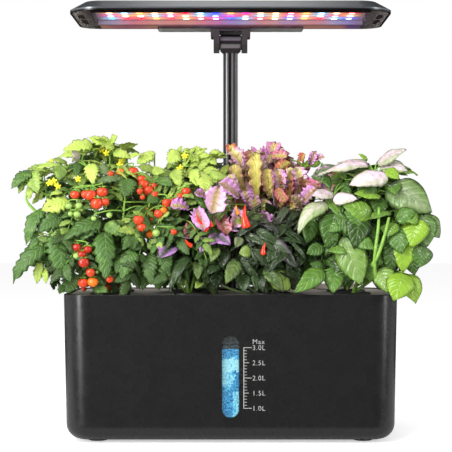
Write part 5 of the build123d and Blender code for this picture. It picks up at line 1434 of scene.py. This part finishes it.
def painted_glow_sheet(name, grid, thickness, reach_mm, gain):
    """A closed sheet on a grid of points; each point glows with painted light from the diodes near it."""
    # A faint painted glow all over, then a painted halo round each diode.
    halo = np.zeros(grid.shape) + np.array(linear("#4a3740")[:3])
    for (x, y), letter in zip(package_spots, "".join(LED_ROWS)):
        apart = ((grid - np.array((x, y, board_low[2]))) ** 2).sum(axis=-1)
        share = gain * np.exp(-apart / (reach_mm * MM) ** 2)
        halo += share[..., None] * np.array(linear(LED_COLOURS[letter][1])[:3])
    columns, rows = grid.shape[:2]
    size = columns * rows
    number = np.arange(size).reshape(columns, rows)
    corners = [number[:-1, :-1], number[:-1, 1:], number[1:, 1:], number[1:, :-1]]
    front = np.stack(corners, axis=-1).reshape(-1, 4).tolist()
    back = [[size + corner for corner in reversed(face)] for face in front]
    edge = [*number[:, 0], *number[-1, 1:], *number[-2::-1, -1], *number[0, -2:0:-1]]
    rim = [(a, b, size + b, size + a) for a, b in zip(edge, edge[1:] + edge[:1])]
    spots = np.concatenate([grid.reshape(-1, 3), (grid + np.array(thickness)).reshape(-1, 3)])
    sheet = add_mesh(name, spots.tolist(), front + back + rim, painted_glow_mask)
    layer = sheet.data.color_attributes.new("halo", "FLOAT_COLOR", "POINT")
    colours = np.concatenate([halo, np.ones((columns, rows, 1))], axis=-1).reshape(-1, 4)
    layer.data.foreach_set("color", np.concatenate([colours, colours]).ravel())
    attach(sheet, "lamp")
    print(name, "points:", 2 * size)
    return sheet


RECESS_LOW_Z = 362.4 * MM
across = np.arange(board_low[0] + MM, board_high[0], HALO_STEP)
deep = np.arange(board_low[1] + MM, board_high[1], HALO_STEP)
up = np.linspace(RECESS_LOW_Z, board_low[2] - 0.3 * MM, 5)
x, y = np.meshgrid(across, deep, indexing="ij")
level_grid = np.stack([x, y, np.full(x.shape, board_low[2] - 2 * SHEET)], axis=-1)
painted_board_glow = painted_glow_sheet("painted_board_glow", level_grid, (0, 0, SHEET), 7.2, 1.35)
x, z = np.meshgrid(across, up, indexing="ij")
upright_grid = np.stack([x, np.full(x.shape, RECESS_BACK_Y - 2 * SHEET), z], axis=-1)
painted_recess_glow = painted_glow_sheet("painted_recess_glow", upright_grid, (0, SHEET, 0), 13.5, 0.45)

# %% Painted shade of the slots at the ends of the lamp
# Painted shade: the slots are not cut; thin dark plates, slightly proud of the underside, stand for the shade
# in their hollows.
painted_slot_shade = start_material("shaded_slot_abs", "#2a1412", 0.5, IOR=1.54)
FRAME_UNDERSIDE, SLOT_PROUD, SLOT_HALF, SLOT_X = 362.0 * MM, 0.08 * MM, 1.9 * MM, 128.5 * MM
slot_piece = [], [], []
for side in (-1, 1):
    for front, back in ((-29, -4), (3, 28)):
        outline = []
        for turn in range(12):
            angle = 2 * math.pi * (turn + 0.5) / 12
            end_y = (back if math.sin(angle) > 0 else front) * MM + SLOT_HALF * math.sin(angle)
            outline.append((side * SLOT_X + SLOT_HALF * math.cos(angle), end_y))
        lifts = FRAME_UNDERSIDE + SLOT_PROUD, FRAME_UNDERSIDE - SLOT_PROUD
        add_rings(slot_piece, [[(x, y, lift) for x, y in outline] for lift in lifts], [0])
lamp_slots = add_mesh("lamp_slots", *slot_piece[:2], painted_slot_shade)
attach(lamp_slots, "lamp")
print("points of the slots:", len(slot_piece[0]))

# %% [markdown]
# ## Water in the gauge
#
# Behind the window stands the tank's water, tinted blue so that its level can be read. Seen through
# the lens it has bright clouds where light comes through and fine dark specks where ripples and
# bubbles bend it away. True ripples of light need a path-traced caustic. At this size, three soft
# zones with torn edges and a fine speckle, painted in its colour, look the same. The column of water
# gets shorter as the float sinks.

# %% Rippled water
# Painted light and painted shade: bright zones and dark specks in the colour stand for light that ripples
# gather and bend away, and the water glows faintly with its own blue, a painted glow.
water = start_material("tinted_water", "#3f9fd0", 0.08, IOR=1.33, Emission_Strength=0.13)
steady = add_node(water, "TexCoord").outputs["Object"]
torn_edges = {"Vector": steady, "Scale": 1 / (5 * MM), "Detail": 5.0, "Roughness": 0.7}
tear = add_node(water, "TexNoise", torn_edges).outputs["Color"]
shift = add_node(water, "VectorMath", {0: tear, 1: (0.5, 0.5, 0.5)}, operation="SUBTRACT")
torn = {0: shift, 1: (16 * MM, 16 * MM, 16 * MM), 2: steady}
torn = add_node(water, "VectorMath", torn, operation="MULTIPLY_ADD")
spot = add_node(water, "SeparateXYZ", {"Vector": torn}).outputs


def water_zone(axis, dark_at, light_at, peak):
    """A soft share that rises from 0 to its peak between two places along an axis, in millimetres."""
    low, high = sorted((dark_at * MM, light_at * MM))
    ends = {"Value": spot[axis], "From Min": low, "From Max": high}
    ends |= {"To Min": peak, "To Max": 0.0} if dark_at > light_at else {"To Min": 0.0, "To Max": peak}
    return add_node(water, "MapRange", ends, interpolation_type="SMOOTHSTEP")


# Painted light: three soft bright zones.
painted_top_light = water_zone("Z", 72, 69, water_zone("Z", 60, 62, 0.55))
painted_left_light = water_zone("Z", 63, 60, water_zone("Z", 44, 50, water_zone("X", 4, 1, 0.42)))
painted_low_light = water_zone("Z", 44, 40, water_zone("X", 0, 3, 0.38))
fine = {"Vector": steady, "Scale": 1 / (1.6 * MM), "Detail": 4.0, "Roughness": 0.6}
fine = add_node(water, "TexNoise", fine)
level = add_node(water, "MapRange", {"Value": fine, "From Min": 0.32, "From Max": 0.62, "To Max": 0.62})
for painted_light_zone in (painted_top_light, painted_left_light, painted_low_light):
    level = add_node(water, "Math", {0: level, 1: painted_light_zone}, operation="ADD")
tint_and_painted_light = add_node(water, "ValToRGB", {"Fac": level})
set_ramp(tint_and_painted_light, (0.12, "#0f4684"), (0.3, "#1f7fbe"), (0.6, "#4fbbe0"), (1.1 / 1.2, "#b4eef5"))
carry(water, tint_and_painted_light)
carry(water, tint_and_painted_light, "Emission Color")
add_bump(water, fine, 0.2)
print("nodes of the water:", len(water.node_tree.nodes))

# %% The column of water
LEVELS, OUTLINE, SQUARE, MENISCUS = 24, 28, 0.35, 0.5 * MM
low, high = (Vector(corner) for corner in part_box("gauge_water"))
middle, half = (low + high) / 2, (high - low) / 2
rings = []
for step in range(LEVELS + 1):
    height = high.z + (low.z - high.z) * step / LEVELS
    ring = []
    for n in range(OUTLINE):
        angle = 2 * math.pi * n / OUTLINE
        round_spot = math.cos(angle), math.sin(angle)
        along, deep = (math.copysign(abs(side) ** SQUARE, side) for side in round_spot)
        wave = MENISCUS * (math.sin(3 * angle) - 1) if step == 0 else 0.0
        ring.append((middle.x + half.x * along, middle.y + half.y * deep, height + wave))
    rings.append(ring)
column = [], [], []
add_rings(column, rings, [0] * LEVELS)
water_column = add_mesh("water_column", *column[:2], water)
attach(water_column, "tank")
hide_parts("gauge_water")
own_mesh(water_column)
print("water rings:", len(rings))

# %% [markdown]
# ## Printed scale
#
# Beside the window the tank's volume is printed in pale grey, from one to three litres. Pad-printed
# ink is only a few hundredths of a millimetre thick. Each mark is a thin block that lies on the
# leaning front, and the numbers are text turned to a mesh, so all of it stays crisp in any view.

# %% Marks and numbers
ink = start_material("pad_printed_ink", "#a9a8a6", 0.5)
INK = 0.04 * MM
LEAN = math.radians(1.0)
ONE_LITRE_Z, THREE_LITRE_Z, SPINE_X = 30.0 * MM, 80.3 * MM, 11.0 * MM
SPINE_HALF, LABEL_X, CAP = 0.26 * MM, 18.0 * MM, 4.0 * MM
tub_low, tub_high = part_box("tub")
points, faces = [], []


def on_front(x, z, proud=0.0):
    """A point on the tub's leaning front, or proud of it."""
    return (x, tub_low[1] + (tub_high[2] - z) * math.tan(LEAN) - proud, z)


def mark(x_low, x_high, z_low, z_high):
    """Add one printed bar."""
    first = len(points)
    corners = ((x_low, z_low), (x_high, z_low), (x_high, z_high), (x_low, z_high))
    for proud in (0, INK):
        points.extend(on_front(x, z, proud) for x, z in corners)
    sides = ((3, 2, 1, 0), (4, 5, 6, 7), (0, 1, 5, 4), (1, 2, 6, 5), (2, 3, 7, 6), (3, 0, 4, 7))
    faces.extend(tuple(first + corner for corner in side) for side in sides)


def litres_at(litres):
    """The height of a volume on the scale."""
    return ONE_LITRE_Z + (THREE_LITRE_Z - ONE_LITRE_Z) * (litres - 1) / 2


mark(SPINE_X - SPINE_HALF, SPINE_X + SPINE_HALF, ONE_LITRE_Z - 0.25 * MM, THREE_LITRE_Z + 0.25 * MM)
for tenth in range(21):
    reach = 6.6 if tenth % 10 == 0 else (4.2 if tenth % 5 == 0 else 2.6)
    height = litres_at(1 + tenth / 10)
    thick = 0.22 * MM if tenth % 5 == 0 else 0.18 * MM
    mark(SPINE_X, SPINE_X + reach * MM, height - thick, height + thick)

labels = [("Max", THREE_LITRE_Z + 5.0 * MM)]
labels += [(f"{litres:.1f}L", litres_at(litres)) for litres in (1.0, 1.5, 2.0, 2.5, 3.0)]
for words, height in labels:
    curve = bpy.data.curves.new(words, "FONT")
    curve.body = words
    curve.size = CAP / 0.7
    curve.extrude = INK / 2
    curve.offset = -0.06 * MM
    curve.space_character = 1.12
    curve.resolution_u = 3
    text = add_object(words, curve)
    bpy.context.view_layer.update()
    glyphs = bpy.data.meshes.new_from_object(text.evaluated_get(bpy.context.evaluated_depsgraph_get()))
    first = len(points)
    for x, up, proud in (vertex.co for vertex in glyphs.vertices):
        points.append(on_front(LABEL_X + x, height - CAP / 2 + up, proud + INK / 2))
    faces.extend(tuple(first + corner for corner in face.vertices) for face in glyphs.polygons)
    bpy.data.objects.remove(text)
volume_scale = add_mesh("volume_scale", points, faces, ink)
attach(volume_scale, "tank")
print("scale faces:", len(faces))

# %% [markdown]
# ## Stage
#
# The object stands in a plain white studio. The floor shows white to the camera and still takes the
# object's shadow: its diffuse white is topped up with a little light of its own, for camera rays
# only. The world looks white to the camera and in reflections, and lights the object gently.

# %% Floor and world
FLOOR_HALF, FLOOR_TOP_UP, AMBIENT = 6.0, 0.53, 0.52
WHITE = linear("#ffffff")
dull = {"Specular_IOR_Level": 0.0, "Emission_Color": WHITE}
floor_paint = start_material("white_studio_floor", "#e6e6e6", 0.9, **dull)
seen = add_node(floor_paint, "LightPath").outputs["Is Camera Ray"]
top_up = add_node(floor_paint, "Math", {0: seen, 1: FLOOR_TOP_UP}, operation="MULTIPLY")
carry(floor_paint, top_up, "Emission Strength")
corners = [(x * FLOOR_HALF, y * FLOOR_HALF, 0) for x, y in ((-1, -1), (1, -1), (1, 1), (-1, 1))]
floor = add_mesh("studio_floor", corners, [(0, 1, 2, 3)], floor_paint)

world = bpy.data.worlds.new("studio_world")
bpy.context.scene.world = world
world.use_nodes = True
background = world.node_tree.nodes["Background"]
background.inputs["Color"].default_value = WHITE
paths = add_node(world, "LightPath").outputs
shown = paths["Is Camera Ray"]
for ray in ("Is Glossy Ray", "Is Transmission Ray"):
    shown = add_node(world, "Math", {0: shown, 1: paths[ray]}, operation="MAXIMUM")
strength = add_node(world, "MapRange", {"Value": shown, "To Min": AMBIENT, "To Max": 1.0})
world.node_tree.links.new(strength.outputs["Result"], background.inputs["Strength"])
print("floor:", 2 * FLOOR_HALF, "m wide")

# %% Lamps
# One large soft box above and in front, two upright ones that draw the long highlights down the
# tub's rounded corners, and one behind and above that shines along the lamp's sloping edge.


def soft_box(name, place, aim, width, height, power):
    """A rectangular area light at place, turned towards aim."""
    light = bpy.data.lights.new(name, "AREA")
    light.shape = "RECTANGLE"
    light.size = width
    light.size_y = height
    light.energy = power
    lamp = add_object(name, light)
    lamp.location = place
    lamp.rotation_euler = (Vector(aim) - Vector(place)).to_track_quat("-Z", "Y").to_euler()
    return lamp


soft_box("key_box", (-0.7, -1.3, 1.5), (0, 0, 0.15), 0.9, 0.7, 20.5)
front_box = soft_box("front_box", (-0.35, -2.0, 0.62), (0, 0, 0.2), 0.5, 0.3, 8)
front_box.visible_glossy = False
soft_box("left_strip", (-0.98, -0.9, 0.32), (-0.1, 0, 0.12), 0.24, 0.9, 20)
soft_box("right_strip", (1.19, -0.61, 0.32), (0.1, 0, 0.12), 0.16, 0.9, 8)
soft_box("rear_box", (0, 1.35, 1.5), (0, -0.05, 0.37), 0.4, 0.6, 3.2)
print("lights:", len(bpy.data.lights))

# %% Black cards
# A white room turns black plastic grey. A photographer stands black cards round such a thing, and
# here they are seen by reflections alone: in front, behind, above and on the floor. The floor close
# to the tub stays white, so that its lower edge picks up a thin light line.
card_black = start_material("black_card", "#000000", 1.0, Specular_IOR_Level=0.0)


def black_card(name, *corners):
    """A four-cornered black card that only reflections see."""
    card = add_mesh(name, corners, [(0, 1, 2, 3)], card_black)
    for ray in ("camera", "diffuse", "transmission", "volume_scatter", "shadow"):
        setattr(card, "visible_" + ray, False)


def upright_card(name, y):
    """A black card that stands on the floor, square to the view."""
    black_card(name, (-WIDE, y, 0), (WIDE, y, 0), (WIDE, y, TALL), (-WIDE, y, TALL))


def level_card(name, half, near, far, z):
    """A black card that lies level, from near to far."""
    black_card(name, (-half, near, z), (half, near, z), (half, far, z), (-half, far, z))


WIDE, TALL, FRONT_Y, REAR_Y, NEAR_FLOOR = 2.5, 2.6, -2.6, 2.2, 0.002
upright_card("front_card", FRONT_Y)
upright_card("rear_card", REAR_Y)
level_card("top_card", WIDE, FRONT_Y, REAR_Y, TALL)
level_card("floor_card", 1, FRONT_Y, -0.1, NEAR_FLOOR)
level_card("back_floor_card", 1, 0.3, REAR_Y, NEAR_FLOOR)

# %% [markdown]
# ## Camera
#
# A product picture like this is taken from a distance with a long lens, so that the tub and the lamp
# keep straight edges. The camera is level, at about the height of the plants, so it looks a little
# up into the lamp and straight at the tub's front.

# %% Camera
camera_data = bpy.data.cameras.new("camera")
camera_data.sensor_width = 36.0
camera_data.lens = 120.87
camera_data.shift_x = -0.00996
camera = add_object("camera", camera_data)
camera.location = (0, -1.332, 0.1809)
camera.rotation_euler = (math.radians(90), 0, 0)
bpy.context.scene.camera = camera
bpy.context.scene.view_settings.view_transform = "Standard"
print("lens:", camera_data.lens, "mm")
